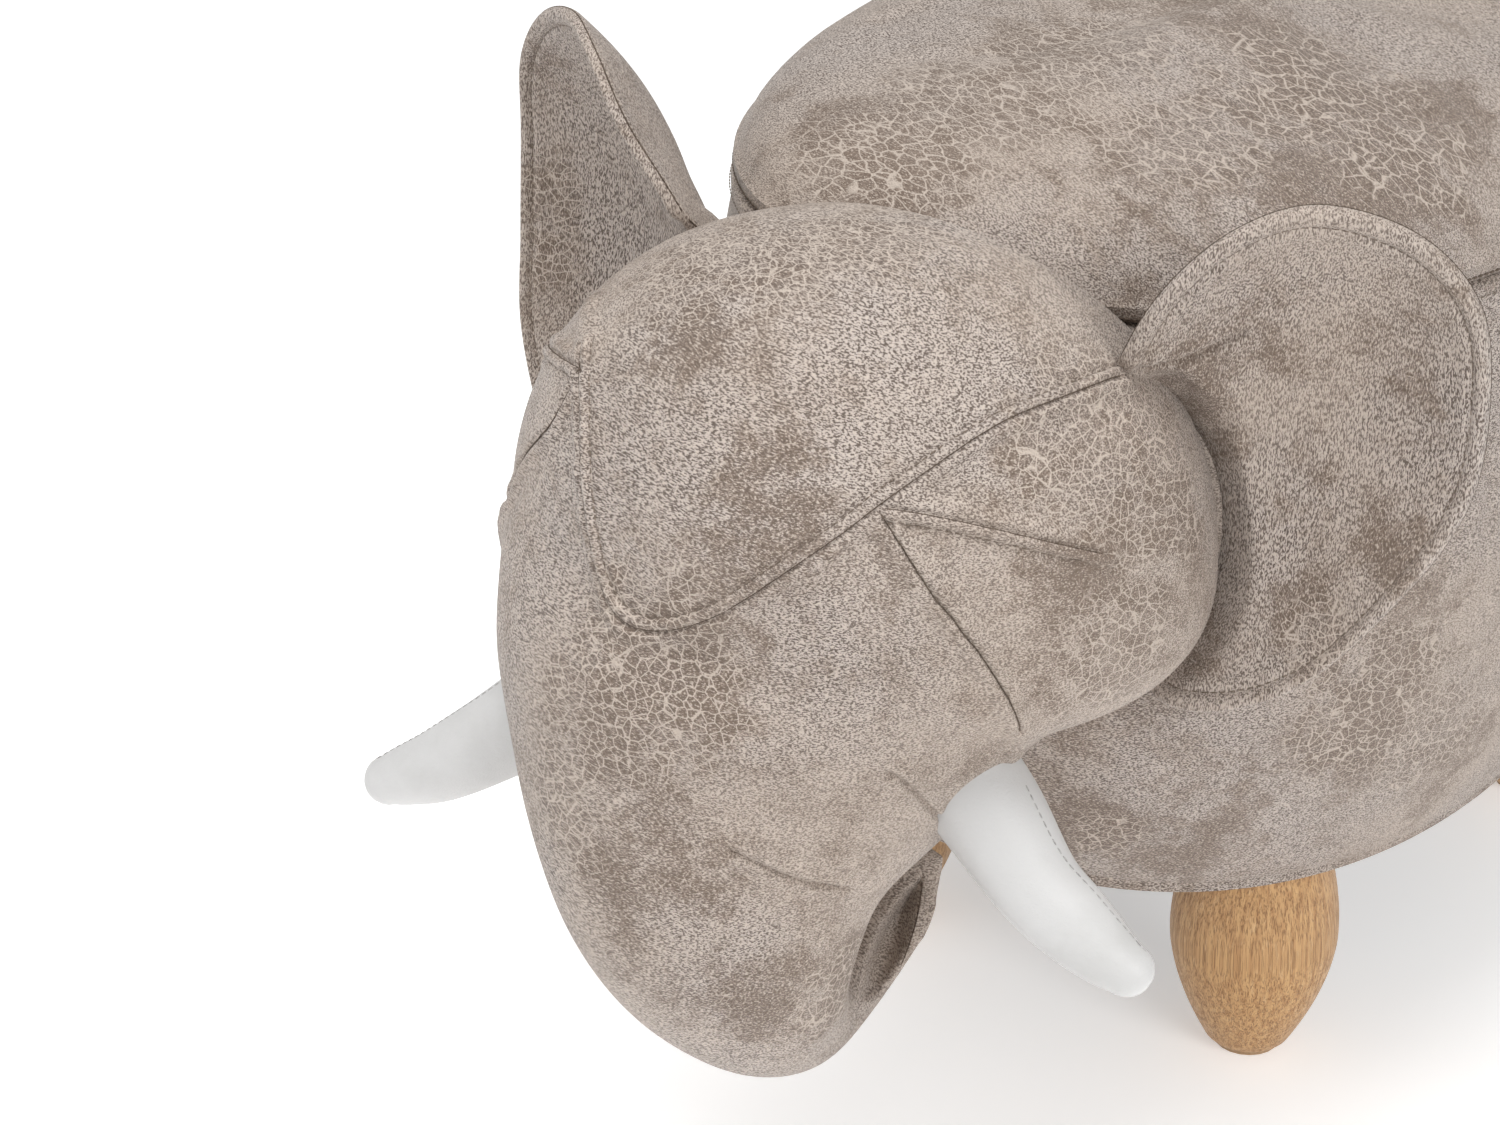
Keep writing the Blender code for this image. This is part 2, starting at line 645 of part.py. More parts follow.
def make_leaf(name, middle, low, high, spans, screws):
    """One leaf: a plate with its knuckles, bored for the pin."""
    start = HINGE_Y - HINGE_LEAF
    end = HINGE_Y - KNUCKLE_RADIUS - KNUCKLE_GAP
    half = HINGE_WIDTH / 2
    leaf = block(name, (middle - half, start, low), (middle + half, end, high))
    for i, (first, last) in enumerate(spans):
        left = middle - half + HINGE_WIDTH * first + (KNUCKLE_GAP if first > 0 else 0.0)
        right = middle - half + HINGE_WIDTH * last - (KNUCKLE_GAP if last < 1 else 0.0)
        tab = block(f"{name}_tab_{i}", (left, end - KNUCKLE_GAP, low), (right, HINGE_Y, high))
        roll = loft(f"{name}_roll_{i}", [circle(x, HINGE_Y, HINGE_Z, KNUCKLE_RADIUS, ROUND_POINTS, "X")
                                         for x in (left, right)])
        join(leaf, tab, roll)
    bore = loft(name + "_bore", [circle(x, HINGE_Y, HINGE_Z, PIN_RADIUS + SEAT_GAP, SCREW_POINTS, "X")
                                 for x in (middle - HINGE_WIDTH, middle + HINGE_WIDTH)])
    cut(leaf, bore, *screws)
    finish(leaf, "steel")


def make_hinges():
    """Two butt hinges. Returns what the rail, pads, lid board and cushion make room for."""
    room = {"rail": [], "pad": [], "board": [], "cushion": []}
    for side, middle in hinge_middles():
        low = SEAM_HEIGHT - HINGE_PLATE
        high = LID_BOTTOM + HINGE_PLATE
        screws = {"base": [], "lid": []}
        for i, (x, y) in enumerate(screw_places(middle)):
            for leaf, z, up in (("base", SEAM_HEIGHT, False), ("lid", LID_BOTTOM, True)):
                name = f"{leaf}_screw_{side}_{i + 1}"
                finish(screw_form(name, x, y, z, up), "steel")
                screws[leaf].append(screw_form(name + "_hole", x, y, z, up, SEAT_GAP))
        inner_knuckle = ((1 / 3, 2 / 3),)
        outer_knuckles = ((0.0, 1 / 3), (2 / 3, 1.0))
        make_leaf(f"hinge_base_leaf_{side}", middle, low, SEAM_HEIGHT, inner_knuckle, screws["base"])
        make_leaf(f"hinge_lid_leaf_{side}", middle, LID_BOTTOM, high, outer_knuckles, screws["lid"])
        half = HINGE_WIDTH / 2
        steps = ((-half - PIN_HEAD - SEAT_GAP, PIN_HEAD_RADIUS), (-half - SEAT_GAP, PIN_HEAD_RADIUS),
                 (-half - SEAT_GAP, PIN_RADIUS), (half, PIN_RADIUS))
        rings = [circle(middle + x, HINGE_Y, HINGE_Z, r, SCREW_POINTS, "X") for x, r in steps]
        finish(loft(f"hinge_pin_{side}", rings), "steel")
        below = leaf_recess(f"base_recess_{side}", middle, low - SEAT_GAP, SEAM_HEIGHT + HINGE_LEAF)
        above = leaf_recess(f"lid_recess_{side}", middle, SEAM_HEIGHT - HINGE_LEAF, high + SEAT_GAP)
        knuckles = knuckle_room(f"knuckle_room_{side}", middle)
        room["rail"] += [below, knuckles] + screws["base"]
        room["pad"] += [below, knuckles]
        room["board"] += [above, knuckles] + screws["lid"]
        room["cushion"] += [above, knuckles]
    return room


def make_rail(room):
    """Solid rail behind the box, under the hinges. Returns the hole that the rump pad leaves for it."""
    rear = SEAM_HALF_LENGTH - RAIL_COVER
    half_width = (HINGE_SPREAD + HINGE_WIDTH) / 2 + RAIL_END
    low = (-half_width, BOX_HALF_LENGTH + SEAT_GAP, SEAM_HEIGHT - RAIL_HEIGHT)
    rail = block("rear_rail", low, (half_width, rear, SEAM_HEIGHT))
    cut(rail, *room)
    finish(rail, "oak")
    gap = SEAT_GAP
    return block("rail_hole", (low[0] - gap, low[1] - RAIL_HEIGHT, low[2] - gap),
                 (-low[0] + gap, rear + gap, SEAM_HEIGHT + RAIL_HEIGHT))


def make_lid(room):
    """Lid board, its crowned cushion and the cloth under it."""
    half_width = SEAM_HALF_WIDTH - LID_BOARD_MARGIN
    half_length = SEAM_HALF_LENGTH - LID_BOARD_MARGIN
    top = LID_BOTTOM + LID_PLY
    board = loft("lid_board", [oval(half_width, half_length, z) for z in (LID_BOTTOM, top)])
    cut(board, *room["board"])
    finish(board, "ply")
    pocket = loft("board_pocket", [oval(half_width + SEAT_GAP, half_length + SEAT_GAP, z)
                                   for z in (LID_BOTTOM - LID_PLY, top + SEAT_GAP)])
    cushion = lid_form("lid_cushion")
    cut(cushion, pocket, *room["cushion"])
    finish(cushion, "hide")
    cloth_top = LID_BOTTOM - SEAT_GAP
    inset = SEAT_GAP + LINING + LID_LINING_INSET
    rings = [well_outline(inset, z) for z in (cloth_top - LINING, cloth_top)]
    finish(loft("lid_lining", rings, smooth=False), "cloth")


# Legs

def leg_profile():
    """Heights and radii of the turned barrel leg."""
    steps = 6
    profile = []
    for i in range(steps):
        share = 1 - i / steps
        z = LEG_BELLY_HEIGHT - share * (LEG_BELLY_HEIGHT - LEG_BOTTOM)
        taper = (LEG_BELLY_RADIUS - LEG_FOOT_RADIUS) * share ** LEG_LOWER_POWER
        profile.append((z, LEG_BELLY_RADIUS - taper))
    for i in range(steps // 2 + 2):
        share = i / (steps // 2 + 1)
        z = LEG_BELLY_HEIGHT + share * (LEG_TOP - LEG_BELLY_HEIGHT)
        taper = (LEG_BELLY_RADIUS - LEG_TOP_RADIUS) * share ** LEG_UPPER_POWER
        profile.append((z, LEG_BELLY_RADIUS - taper))
    return profile


def make_legs(base):
    """Four legs, each with its glide, bolt and tee nut. Returns the bolt holes."""
    holes = []
    flange_low = BASE_TOP - TEE_FLANGE
    for end_name, y in LEG_PLACES:
        for side_name, x in (("left", LEG_OUT), ("right", -LEG_OUT)):
            place = end_name + "_" + side_name
            hole = turned("bolt_hole_" + place, x, y, (
                (LEG_TOP - BOLT_DEPTH - SEAT_GAP, BOLT_RADIUS + SEAT_GAP),
                (BASE_TOP + SEAT_GAP, BOLT_RADIUS + SEAT_GAP)), SCREW_POINTS)
            tee_hole = turned("tee_hole_" + place, x, y, (
                (BASE_HEIGHT - SEAT_GAP, TEE_RADIUS + SEAT_GAP),
                (flange_low - SEAT_GAP, TEE_RADIUS + SEAT_GAP),
                (flange_low - SEAT_GAP, TEE_FLANGE_RADIUS + SEAT_GAP),
                (BASE_TOP + SEAT_GAP, TEE_FLANGE_RADIUS + SEAT_GAP)), SCREW_POINTS)
            leg = turned("leg_" + place, x, y, leg_profile())
            cut(leg, hole)
            finish(leg, "oak")
            glide = turned("glide_" + place, x, y, ((0.0, GLIDE_RADIUS), (GLIDE_HEIGHT, GLIDE_RADIUS)))
            finish(glide, "felt")
            bolt = turned("leg_bolt_" + place, x, y, ((LEG_TOP - BOLT_DEPTH, BOLT_RADIUS),
                                                      (BASE_TOP, BOLT_RADIUS)), SCREW_POINTS)
            finish(bolt, "steel")
            tee = turned("tee_nut_" + place, x, y, ((BASE_HEIGHT, TEE_RADIUS), (flange_low, TEE_RADIUS),
                                                    (flange_low, TEE_FLANGE_RADIUS),
                                                    (BASE_TOP, TEE_FLANGE_RADIUS)), SCREW_POINTS)
            cut(tee, hole)
            finish(tee, "steel")
            cut(base, tee_hole)
            holes.append(hole)
    return holes


# Head

def make_neck(front_panel):
    """Block and bolts that carry the head. Returns the hole that the padding leaves for the block."""
    half_width = NECK_WIDTH / 2
    half_tall = NECK_TALL / 2
    rear = -BOX_HALF_LENGTH - SEAT_GAP
    front = -BODY_HALF_LENGTH - NECK_IN_HEAD
    neck = block("neck_block", (-half_width, front, NECK_HEIGHT - half_tall),
                 (half_width, rear, NECK_HEIGHT + half_tall))
    sink = NECK_BOLT_HEAD - NECK_BOLT_RADIUS
    for name, way in (("upper", 1), ("lower", -1)):
        z = NECK_HEIGHT + way * NECK_BOLT_PITCH / 2
        for grow, label in ((0.0, "neck_bolt_" + name), (SEAT_GAP, "neck_bolt_hole_" + name)):
            profile = ((-WELL_HALF_LENGTH + grow, NECK_BOLT_HEAD + grow),
                       (-WELL_HALF_LENGTH - sink, NECK_BOLT_RADIUS + grow),
                       (rear - NECK_BOLT_GRIP - grow, NECK_BOLT_RADIUS + grow))
            bolt = loft(label, [circle(0.0, y, z, r, SCREW_POINTS, "Y") for y, r in profile])
            if grow:
                cut(neck, bolt)
                cut(front_panel, bolt)
            else:
                finish(bolt, "steel")
    finish(neck, "ply")
    gap = SEAT_GAP
    return block("neck_hole", (-half_width - gap, front - gap, NECK_HEIGHT - half_tall - gap),
                 (half_width + gap, rear + PANEL_PLY / 2, NECK_HEIGHT + half_tall + gap))


def ear_form(name, side, stations, degrees, spread, ear_rise):
    """An ear: a pad inside its rim, thin at the edge, cupped forward and turned outward."""
    turn = radians(degrees)
    out = Vector((cos(turn), sin(turn), 0.0))
    face = Vector((sin(turn), -cos(turn), 0.0))
    root = HEAD_HALF_WIDTH - EAR_ROOT_IN
    rounds = 6
    steps = 3
    rim = smooth_path(stations[-2:] + stations + stations[:2], steps)[2 * steps:-steps - 1]

    def surface(share, spot, front):
        u = (EAR_MIDDLE_OUT + (spot[0] - EAR_MIDDLE_OUT) * share) * spread
        v = spot[1] * share
        half = EAR_EDGE / 2 + (EAR_THICK - EAR_EDGE) / 2 * (1 - share ** EAR_RIM_POWER)
        depth = (spot[2] + EAR_SINK) * share ** EAR_CUP_POWER - EAR_SINK + (half if front else -half)
        place = out * u + face * depth
        return side * (root + place.x), EAR_BACK - HEAD_AHEAD + place.y, HEAD_HEIGHT + ear_rise + v

    rings = [[surface(0.0, rim[0], True)]]
    for front in (True, False):
        shares = [i / rounds for i in range(1, rounds + 1)]
        for share in shares if front else shares[::-1]:
            rings.append([surface(share, spot, front) for spot in rim])
    rings.append([surface(0.0, rim[0], False)])
    return loft(name, rings)


def make_head(neck_hole):
    """Head, trunk, tusks and ears, each cut by the larger ones."""
    gap = SEAT_GAP
    body_hole = body_form("body_hole", gap)
    lid_hole = loft("lid_hole", [oval(SEAM_HALF_WIDTH + LID_CLEARANCE, SEAM_HALF_LENGTH + LID_CLEARANCE, z)
                                 for z in (SEAM_HEIGHT - LID_CLEARANCE, SEAM_HEIGHT + LID_CROWN + HEAD_UP)])
    head_hole = head_form("head_hole", gap)
    trunk_hole = trunk_form("trunk_hole", 2 * gap)
    head = head_form("head")
    cut(head, body_hole, lid_hole, neck_hole)
    trunk = trunk_form("trunk")
    cut(trunk, head_hole, body_hole)
    for piece in (head, trunk):
        finish(piece, "hide")
    left_ear = (EAR_RIM_LEFT, EAR_TURN_LEFT, EAR_SPREAD_LEFT, EAR_RISE_LEFT)
    right_ear = (EAR_RIM_RIGHT, EAR_TURN_RIGHT, EAR_SPREAD_RIGHT, EAR_RISE_RIGHT)
    ears = (("left", 1, TUSK_STATIONS_LEFT, left_ear), ("right", -1, TUSK_STATIONS_RIGHT, right_ear))
    for side_name, side, stations, ear_set in ears:
        tusk = tusk_form("tusk_" + side_name, side, stations)
        cut(tusk, head_hole, trunk_hole)
        finish(tusk, "ivory")
        ear = ear_form("ear_" + side_name, side, *ear_set)
        cut(ear, head_hole, body_hole)
        finish(ear, "hide")


# Tail

def make_tail():
    """A sewn tail on the rump with a tuft at its end."""
    steps = 8
    rings = []
    for i in range(steps + 1):
        share = i / steps
        z = TAIL_ROOT_HEIGHT - TAIL_LENGTH * share
        radius = TAIL_ROOT_RADIUS + (TAIL_END_RADIUS - TAIL_ROOT_RADIUS) * share
        rear = BODY_HALF_LENGTH - draw_in(z)[1]
        y = rear + TAIL_STANDOFF + TAIL_SWING * sin(share * pi / 2)
        rings.append(circle(0.0, y, z, radius, ROUND_POINTS))
    tail = loft("tail", rings)
    body_hole = body_form("tail_body_hole", SEAT_GAP)
    cut(tail, body_hole)
    finish(tail, "hide")
    end_y = rings[-1][0][1]
    end_z = z - SEAT_GAP
    tuft = []
    for share, size in TUFT_PROFILE:
        tuft.append(circle(0.0, end_y, end_z - TUFT_LENGTH * share, TUFT_RADIUS * size, SCREW_POINTS))
    finish(loft("tail_tuft", tuft), "hide")


box = make_box()
bolt_holes = make_legs(box["base_board"])
make_linings(bolt_holes)
neck_hole = make_neck(box["front_panel"])
hinge_room = make_hinges()
rail_hole = make_rail(hinge_room["rail"])
make_pads(neck_hole, rail_hole, hinge_room["pad"])
make_lid(hinge_room)
make_head(neck_hole)
make_tail()
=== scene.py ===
"""Elephant storage pouf in distressed leather cloth on turned oak feet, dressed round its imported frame.

Metres, +Z up. The elephant faces -Y and its left side is +X.
"""

from math import cos, pi, radians, sin, tau

import bpy
import numpy as np
from mathutils import Matrix, Vector
from mathutils.bvhtree import BVHTree
from mathutils.kdtree import KDTree


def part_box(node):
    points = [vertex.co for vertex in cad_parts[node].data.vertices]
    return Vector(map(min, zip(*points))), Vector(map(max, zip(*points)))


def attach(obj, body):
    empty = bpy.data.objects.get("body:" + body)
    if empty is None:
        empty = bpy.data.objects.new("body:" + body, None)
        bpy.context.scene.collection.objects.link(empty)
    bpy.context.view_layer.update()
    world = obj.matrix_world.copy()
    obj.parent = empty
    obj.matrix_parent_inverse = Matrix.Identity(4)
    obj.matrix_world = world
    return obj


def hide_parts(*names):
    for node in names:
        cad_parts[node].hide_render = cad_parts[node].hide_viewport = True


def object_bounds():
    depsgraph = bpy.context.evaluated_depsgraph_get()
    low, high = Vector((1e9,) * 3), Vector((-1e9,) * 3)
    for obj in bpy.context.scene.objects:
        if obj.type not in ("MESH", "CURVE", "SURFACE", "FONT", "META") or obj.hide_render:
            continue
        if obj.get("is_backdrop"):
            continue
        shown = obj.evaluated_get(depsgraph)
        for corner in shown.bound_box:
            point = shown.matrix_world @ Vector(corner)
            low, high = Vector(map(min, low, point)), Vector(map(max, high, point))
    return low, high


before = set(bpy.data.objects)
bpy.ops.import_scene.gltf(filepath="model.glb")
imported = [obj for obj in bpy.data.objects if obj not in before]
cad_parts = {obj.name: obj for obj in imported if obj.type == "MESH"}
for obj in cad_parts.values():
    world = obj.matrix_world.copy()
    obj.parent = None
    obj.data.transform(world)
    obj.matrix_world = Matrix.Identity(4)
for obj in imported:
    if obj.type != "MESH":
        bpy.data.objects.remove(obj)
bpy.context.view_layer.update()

# Camera: it looks down on the left side of the elephant's face, so near that the rump is out of the
# picture. Its place and lens were fitted to the foot, the lid seam and the outlines of the head and ears.
PHOTO_WIDTH = 1500
PHOTO_HEIGHT = 1125
CAMERA_AZIMUTH = radians(36.0)
CAMERA_ELEVATION = radians(27.0)
CAMERA_EYE = Vector((0.671, -1.1899, 0.8607))
CAMERA_LENS = 90.378
SENSOR_WIDTH = 36.0
FOCAL_PIXELS = PHOTO_WIDTH * CAMERA_LENS / SENSOR_WIDTH

camera_right = Vector((cos(CAMERA_AZIMUTH), sin(CAMERA_AZIMUTH), 0.0))
camera_back = Vector((sin(CAMERA_AZIMUTH) * cos(CAMERA_ELEVATION),
                      -cos(CAMERA_AZIMUTH) * cos(CAMERA_ELEVATION), sin(CAMERA_ELEVATION)))
camera_up = camera_back.cross(camera_right)
bpy.ops.object.select_all(action="DESELECT")
bpy.ops.object.camera_add()
camera = bpy.context.object
camera.matrix_world = (Matrix.Translation(CAMERA_EYE)
                       @ Matrix((camera_right, camera_up, camera_back)).transposed().to_4x4())
camera.data.lens = CAMERA_LENS
camera.data.sensor_width = SENSOR_WIDTH
bpy.context.scene.camera = camera


def pixel_ray(pixel):
    """Direction from the camera through a pixel of the photograph."""
    across = (pixel[0] - PHOTO_WIDTH / 2) / FOCAL_PIXELS
    down = (pixel[1] - PHOTO_HEIGHT / 2) / FOCAL_PIXELS
    return (camera_right * across - camera_up * down - camera_back).normalized()


# Plywood box: birch boards that make the storage well, with pine corner blocks, a beech rail at the rear, a
# lid board and the block in the neck. The faces show long pale figure, and the sawn edges show their layers.
PLY_LAYER = 0.0015
PLY_PALE = (0.66, 0.49, 0.30, 1)
PLY_BROWN = (0.50, 0.33, 0.18, 1)
CORNERS = [f"{end}_{side}" for end in ("front", "rear") for side in ("left", "right")]


class Paint:
    """A shader value. Arithmetic on it adds Math nodes, and node() adds a node of any other type."""

    def __init__(self, tree, socket):
        self.tree = tree
        self.socket = socket

    def node(self, kind, settings, inputs, output=0):
        made = self.tree.nodes.new("ShaderNode" + kind)
        for name, value in settings.items():
            setattr(made, name, value)
        for name, value in inputs.items():
            if isinstance(value, Paint):
                self.tree.links.new(value.socket, made.inputs[name])
            else:
                made.inputs[name].default_value = value
        return Paint(self.tree, made.outputs[output])

    def math(self, operation, first, second=0.0):
        return self.node("Math", {"operation": operation}, {0: first, 1: second})

    def __add__(self, other):
        return self.math("ADD", self, other)

    __radd__ = __add__

    def __sub__(self, other):
        return self.math("SUBTRACT", self, other)

    def __rsub__(self, other):
        return self.math("SUBTRACT", other, self)

    def __mul__(self, other):
        return self.math("MULTIPLY", self, other)

    __rmul__ = __mul__

    def larger(self, other):
        return self.math("MAXIMUM", self, other)

    def step(self, low, high):
        """A smooth step from 0 at low to 1 at high."""
        return self.node("MapRange", {"interpolation_type": "SMOOTHSTEP"},
                         {"Value": self, "From Min": low, "From Max": high})

    def mix(self, first, second):
        """A colour between two, with this value as the share of the second."""
        return self.node("Mix", {"data_type": "RGBA"}, {0: self, 6: first, 7: second}, 2)

    def moved(self, location=(0, 0, 0), turn=(0, 0, 0), scale=(1, 1, 1)):
        """Coordinates shifted, turned in degrees and stretched."""
        return self.node("Mapping", {}, {"Vector": self, "Location": location,
                                         "Rotation": [radians(a) for a in turn], "Scale": scale})

    def noise(self, scale, detail=2.0, roughness=0.5):
        return self.node("TexNoise", {}, {"Vector": self, "Scale": scale, "Detail": detail,
                                          "Roughness": roughness})

    def bent(self, scale, amount):
        """Coordinates that wander by slow noise."""
        drift = self.node("TexNoise", {}, {"Vector": self, "Scale": scale, "Detail": 2.0}, 1)
        return self.node("VectorMath", {"operation": "MULTIPLY_ADD"}, {0: drift, 1: (amount,) * 3, 2: self})

    def axis(self, index):
        return self.node("SeparateXYZ", {}, {0: self}, index)


def new_material(name, roughness=0.6, metallic=0.0, sheen=0.0):
    """A material, its shader and the object coordinates to paint with."""
    material = bpy.data.materials.new(name)
    material.use_nodes = True
    tree = material.node_tree
    shader = tree.nodes["Principled BSDF"]
    shader.inputs["Roughness"].default_value = roughness
    shader.inputs["Metallic"].default_value = metallic
    shader.inputs["Sheen Weight"].default_value = sheen
    return material, shader, Paint(tree, tree.nodes.new("ShaderNodeTexCoord").outputs["Object"])


def paint(shader, socket, value):
    value.tree.links.new(value.socket, shader.inputs[socket])


def raise_bump(shader, height, distance):
    """Bump from a height in shares of a distance in metres."""
    paint(shader, "Normal", height.node("Bump", {}, {"Distance": distance, "Height": height}))


def wear(nodes, material):
    """Give CAD nodes a material."""
    for node in nodes:
        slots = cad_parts[node].data.materials
        slots.clear()
        slots.append(material)


def plywood(name, layer_axis):
    """Pale wood with long figure, in thin layers that lie across one axis."""
    material, shader, place = new_material(name, 0.62)
    along = [90.0, 90.0, 90.0]
    along[(layer_axis + 2) % 3] = 4.0
    figure = place.bent(6.0, 0.02).moved(scale=along).noise(1.0, 4.0, 0.6)
    across = place.axis(layer_axis) * (pi / PLY_LAYER)
    layer = across.math("SINE", across)
    pores = place.moved(scale=[8.0 * a for a in along]).noise(1.0, 2.0)
    tone = figure.step(0.35, 0.7) * 0.6 + layer.step(-0.2, 0.6) * 0.25 + pores.step(0.55, 0.7) * 0.15
    paint(shader, "Base Color", tone.mix(PLY_PALE, PLY_BROWN))
    paint(shader, "Roughness", tone * 0.2 + 0.5)
    raise_bump(shader, pores * 0.6 + layer * 0.2, 0.0003)
    return material


wear(("base_board", "lid_board", "neck_block"), plywood("birch_ply_flat", 2))
wear(("front_panel", "rear_panel"), plywood("birch_ply_ends", 1))
wear(("left_panel", "right_panel"), plywood("birch_ply_sides", 0))
wear([f"corner_block_{corner}" for corner in CORNERS], plywood("pine_blocks", 0))
wear(("rear_rail",), plywood("beech_rail", 2))

# Linings: black non-woven cloth, glued in the well and under the lid and stapled under the base.
# It has the round dimples of its heat-bonding and a faint fibre.
BOND_PITCH = 0.0022
LINING_BLACK = (0.018, 0.018, 0.020, 1)
LINING_GREY = (0.060, 0.058, 0.060, 1)

lining, lining_shader, place = new_material("black_lining", 0.92, sheen=0.3)
dimple = place.node("TexVoronoi", {}, {"Vector": place, "Scale": 1 / BOND_PITCH, "Randomness": 0.25})
fibre = place.moved(scale=(1.0, 3.0, 2.0)).noise(900.0, 3.0, 0.7)
lint = fibre.step(0.3, 0.8) * 0.7 + dimple.step(0.2, 0.6) * 0.3
paint(lining_shader, "Base Color", lint.mix(LINING_BLACK, LINING_GREY))
raise_bump(lining_shader, dimple * 0.8 + fibre * 0.4, 0.0004)
wear(("well_lining", "dust_cover", "lid_lining"), lining)

# Steel: zinc plated hinges, pins, screws, bolts and tee nuts. The plating is faintly blue and yellow
# and is brushed along the leaves.
SIDES = {"left": 1, "right": -1}
ZINC_BLUE = (0.52, 0.54, 0.58, 1)
ZINC_YELLOW = (0.62, 0.59, 0.52, 1)

steel, steel_shader, place = new_material("zinc_steel", 0.35, 1.0)
brushed = place.moved(scale=(40.0, 900.0, 900.0)).noise(1.0, 3.0, 0.6)
tint = place.noise(60.0, 3.0)
paint(steel_shader, "Base Color", tint.step(0.35, 0.65).mix(ZINC_BLUE, ZINC_YELLOW))
paint(steel_shader, "Roughness", brushed * 0.25 + 0.24)
raise_bump(steel_shader, brushed, 0.00008)
steel_nodes = ["neck_bolt_upper", "neck_bolt_lower"]
for side in SIDES:
    steel_nodes += [f"{kind}_{side}" for kind in ("hinge_base_leaf", "hinge_lid_leaf", "hinge_pin")]
    steel_nodes += [f"{leaf}_screw_{side}_{i}" for leaf in ("base", "lid") for i in (1, 2)]
for corner in CORNERS:
    steel_nodes += [f"leg_bolt_{corner}", f"tee_nut_{corner}"]
wear(steel_nodes, steel)

# Feet: solid oak, turned to a barrel on the lathe, lacquered satin, with a felt glide glued under each.
# The grain runs upright in fine dark pores, and a foot hangs from its bolt in the base board.
FOOT_PROFILE_STEPS = 14
FOOT_TURN_STEPS = 64
FOOT_BELLY_HEIGHT = 0.053
FOOT_TOE_RADIUS = 0.0172
FOOT_TOE_ROUND = 0.0014
FOOT_HEAD_RADIUS = 0.0245
FOOT_LOWER_POWER = 1.7
FOOT_UPPER_POWER = 2.0
FOOT_DOUBLES = 0.00002
OAK_PALE = (0.58, 0.345, 0.150, 1)
OAK_BROWN = (0.45, 0.240, 0.096, 1)
OAK_RAY = (0.68, 0.45, 0.24, 1)
OAK_PORE = (0.17, 0.075, 0.028, 1)
FELT_BROWN = (0.34, 0.22, 0.12, 1)
FELT_PALE = (0.48, 0.32, 0.18, 1)


def oak(name, middle):
    """Turned oak with upright grain round a foot's own middle."""
    material, shader, place = new_material(name, 0.42)
    spot = place.moved(location=[-c for c in middle], turn=(0.0, 2.5, 0.0)).bent(9.0, 0.003)
    bands = spot.moved(scale=(620.0, 620.0, 1.6)).noise(1.0, 3.0, 0.60)
    pores = spot.moved(scale=(2600.0, 2600.0, 16.0)).noise(1.0, 2.0, 0.6)
    flecks = spot.moved(scale=(500.0, 500.0, 130.0)).noise(1.0, 1.0)
    deep = (pores + bands * 0.25).step(0.62, 0.80) * 0.65
    tone = bands.step(0.32, 0.68)
    body = tone.mix(OAK_PALE, OAK_BROWN)
    ray = flecks.step(0.62, 0.72) * 0.35
    paint(shader, "Base Color", deep.mix(ray.mix(body, OAK_RAY), OAK_PORE))
    paint(shader, "Roughness", deep * 0.25 + tone * 0.08 + 0.34)
    raise_bump(shader, 1 - deep, 0.00025)
    return material


def foot_profile(low, high, belly_radius):
    """Radii and heights of the barrel, from the middle of its toe to the middle of its head."""
    points = [(0.0, low), (FOOT_TOE_RADIUS - FOOT_TOE_ROUND, low)]
    for i in range(FOOT_PROFILE_STEPS + 1):
        share = 1 - i / FOOT_PROFILE_STEPS
        z = FOOT_BELLY_HEIGHT - share * (FOOT_BELLY_HEIGHT - low - FOOT_TOE_ROUND)
        points.append((belly_radius - (belly_radius - FOOT_TOE_RADIUS) * share ** FOOT_LOWER_POWER, z))
    for i in range(1, FOOT_PROFILE_STEPS + 1):
        share = i / FOOT_PROFILE_STEPS
        z = FOOT_BELLY_HEIGHT + share * (high - FOOT_BELLY_HEIGHT)
        points.append((belly_radius - (belly_radius - FOOT_HEAD_RADIUS) * share ** FOOT_UPPER_POWER, z))
    return points + [(0.0, high)]


def new_piece(name, points, faces=(), edges=()):
    """A selected, active object made of points and faces."""
    mesh = bpy.data.meshes.new(name)
    mesh.from_pydata(np.asarray(points).tolist(), edges, faces)
    piece = bpy.data.objects.new(name, mesh)
    bpy.context.scene.collection.objects.link(piece)
    make_active(piece)
    return piece


def make_active(piece):
    bpy.ops.object.select_all(action="DESELECT")
    piece.select_set(True)
    bpy.context.view_layer.objects.active = piece


def edit_all(piece):
    """Go into edit mode with everything selected."""
    make_active(piece)
    bpy.ops.object.mode_set(mode="EDIT")
    bpy.ops.mesh.select_all(action="SELECT")


def finish_piece(piece, material, slot, body, *nodes, smooth=35.0):
    """Shade a piece, paint it, and set it on its body in place of the CAD nodes that it stands for."""
    make_active(piece)
    bpy.ops.object.shade_smooth_by_angle(angle=radians(smooth))
    piece.data.materials.clear()
    piece.data.materials.append(material)
    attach(piece, body)
    if nodes:
        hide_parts(*nodes)


for corner in CORNERS:
    low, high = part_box(f"leg_{corner}")
    middle = (low + high) / 2
    profile = foot_profile(low.z, high.z, (high.x - low.x) / 2)
    foot = new_piece(f"oak_foot_{corner}", [(middle.x + r, middle.y, z) for r, z in profile],
                     edges=[(i, i + 1) for i in range(len(profile) - 1)])
    edit_all(foot)
    bpy.ops.mesh.spin(steps=FOOT_TURN_STEPS, angle=tau, center=(middle.x, middle.y, 0.0), axis=(0, 0, 1))
    bpy.ops.mesh.select_all(action="SELECT")
    bpy.ops.mesh.remove_doubles(threshold=FOOT_DOUBLES)
    bpy.ops.mesh.normals_make_consistent(inside=False)
    bpy.ops.object.mode_set(mode="OBJECT")
    finish_piece(foot, oak(f"turned_oak_{corner}", middle), "oak", "pouf_body", f"leg_{corner}")

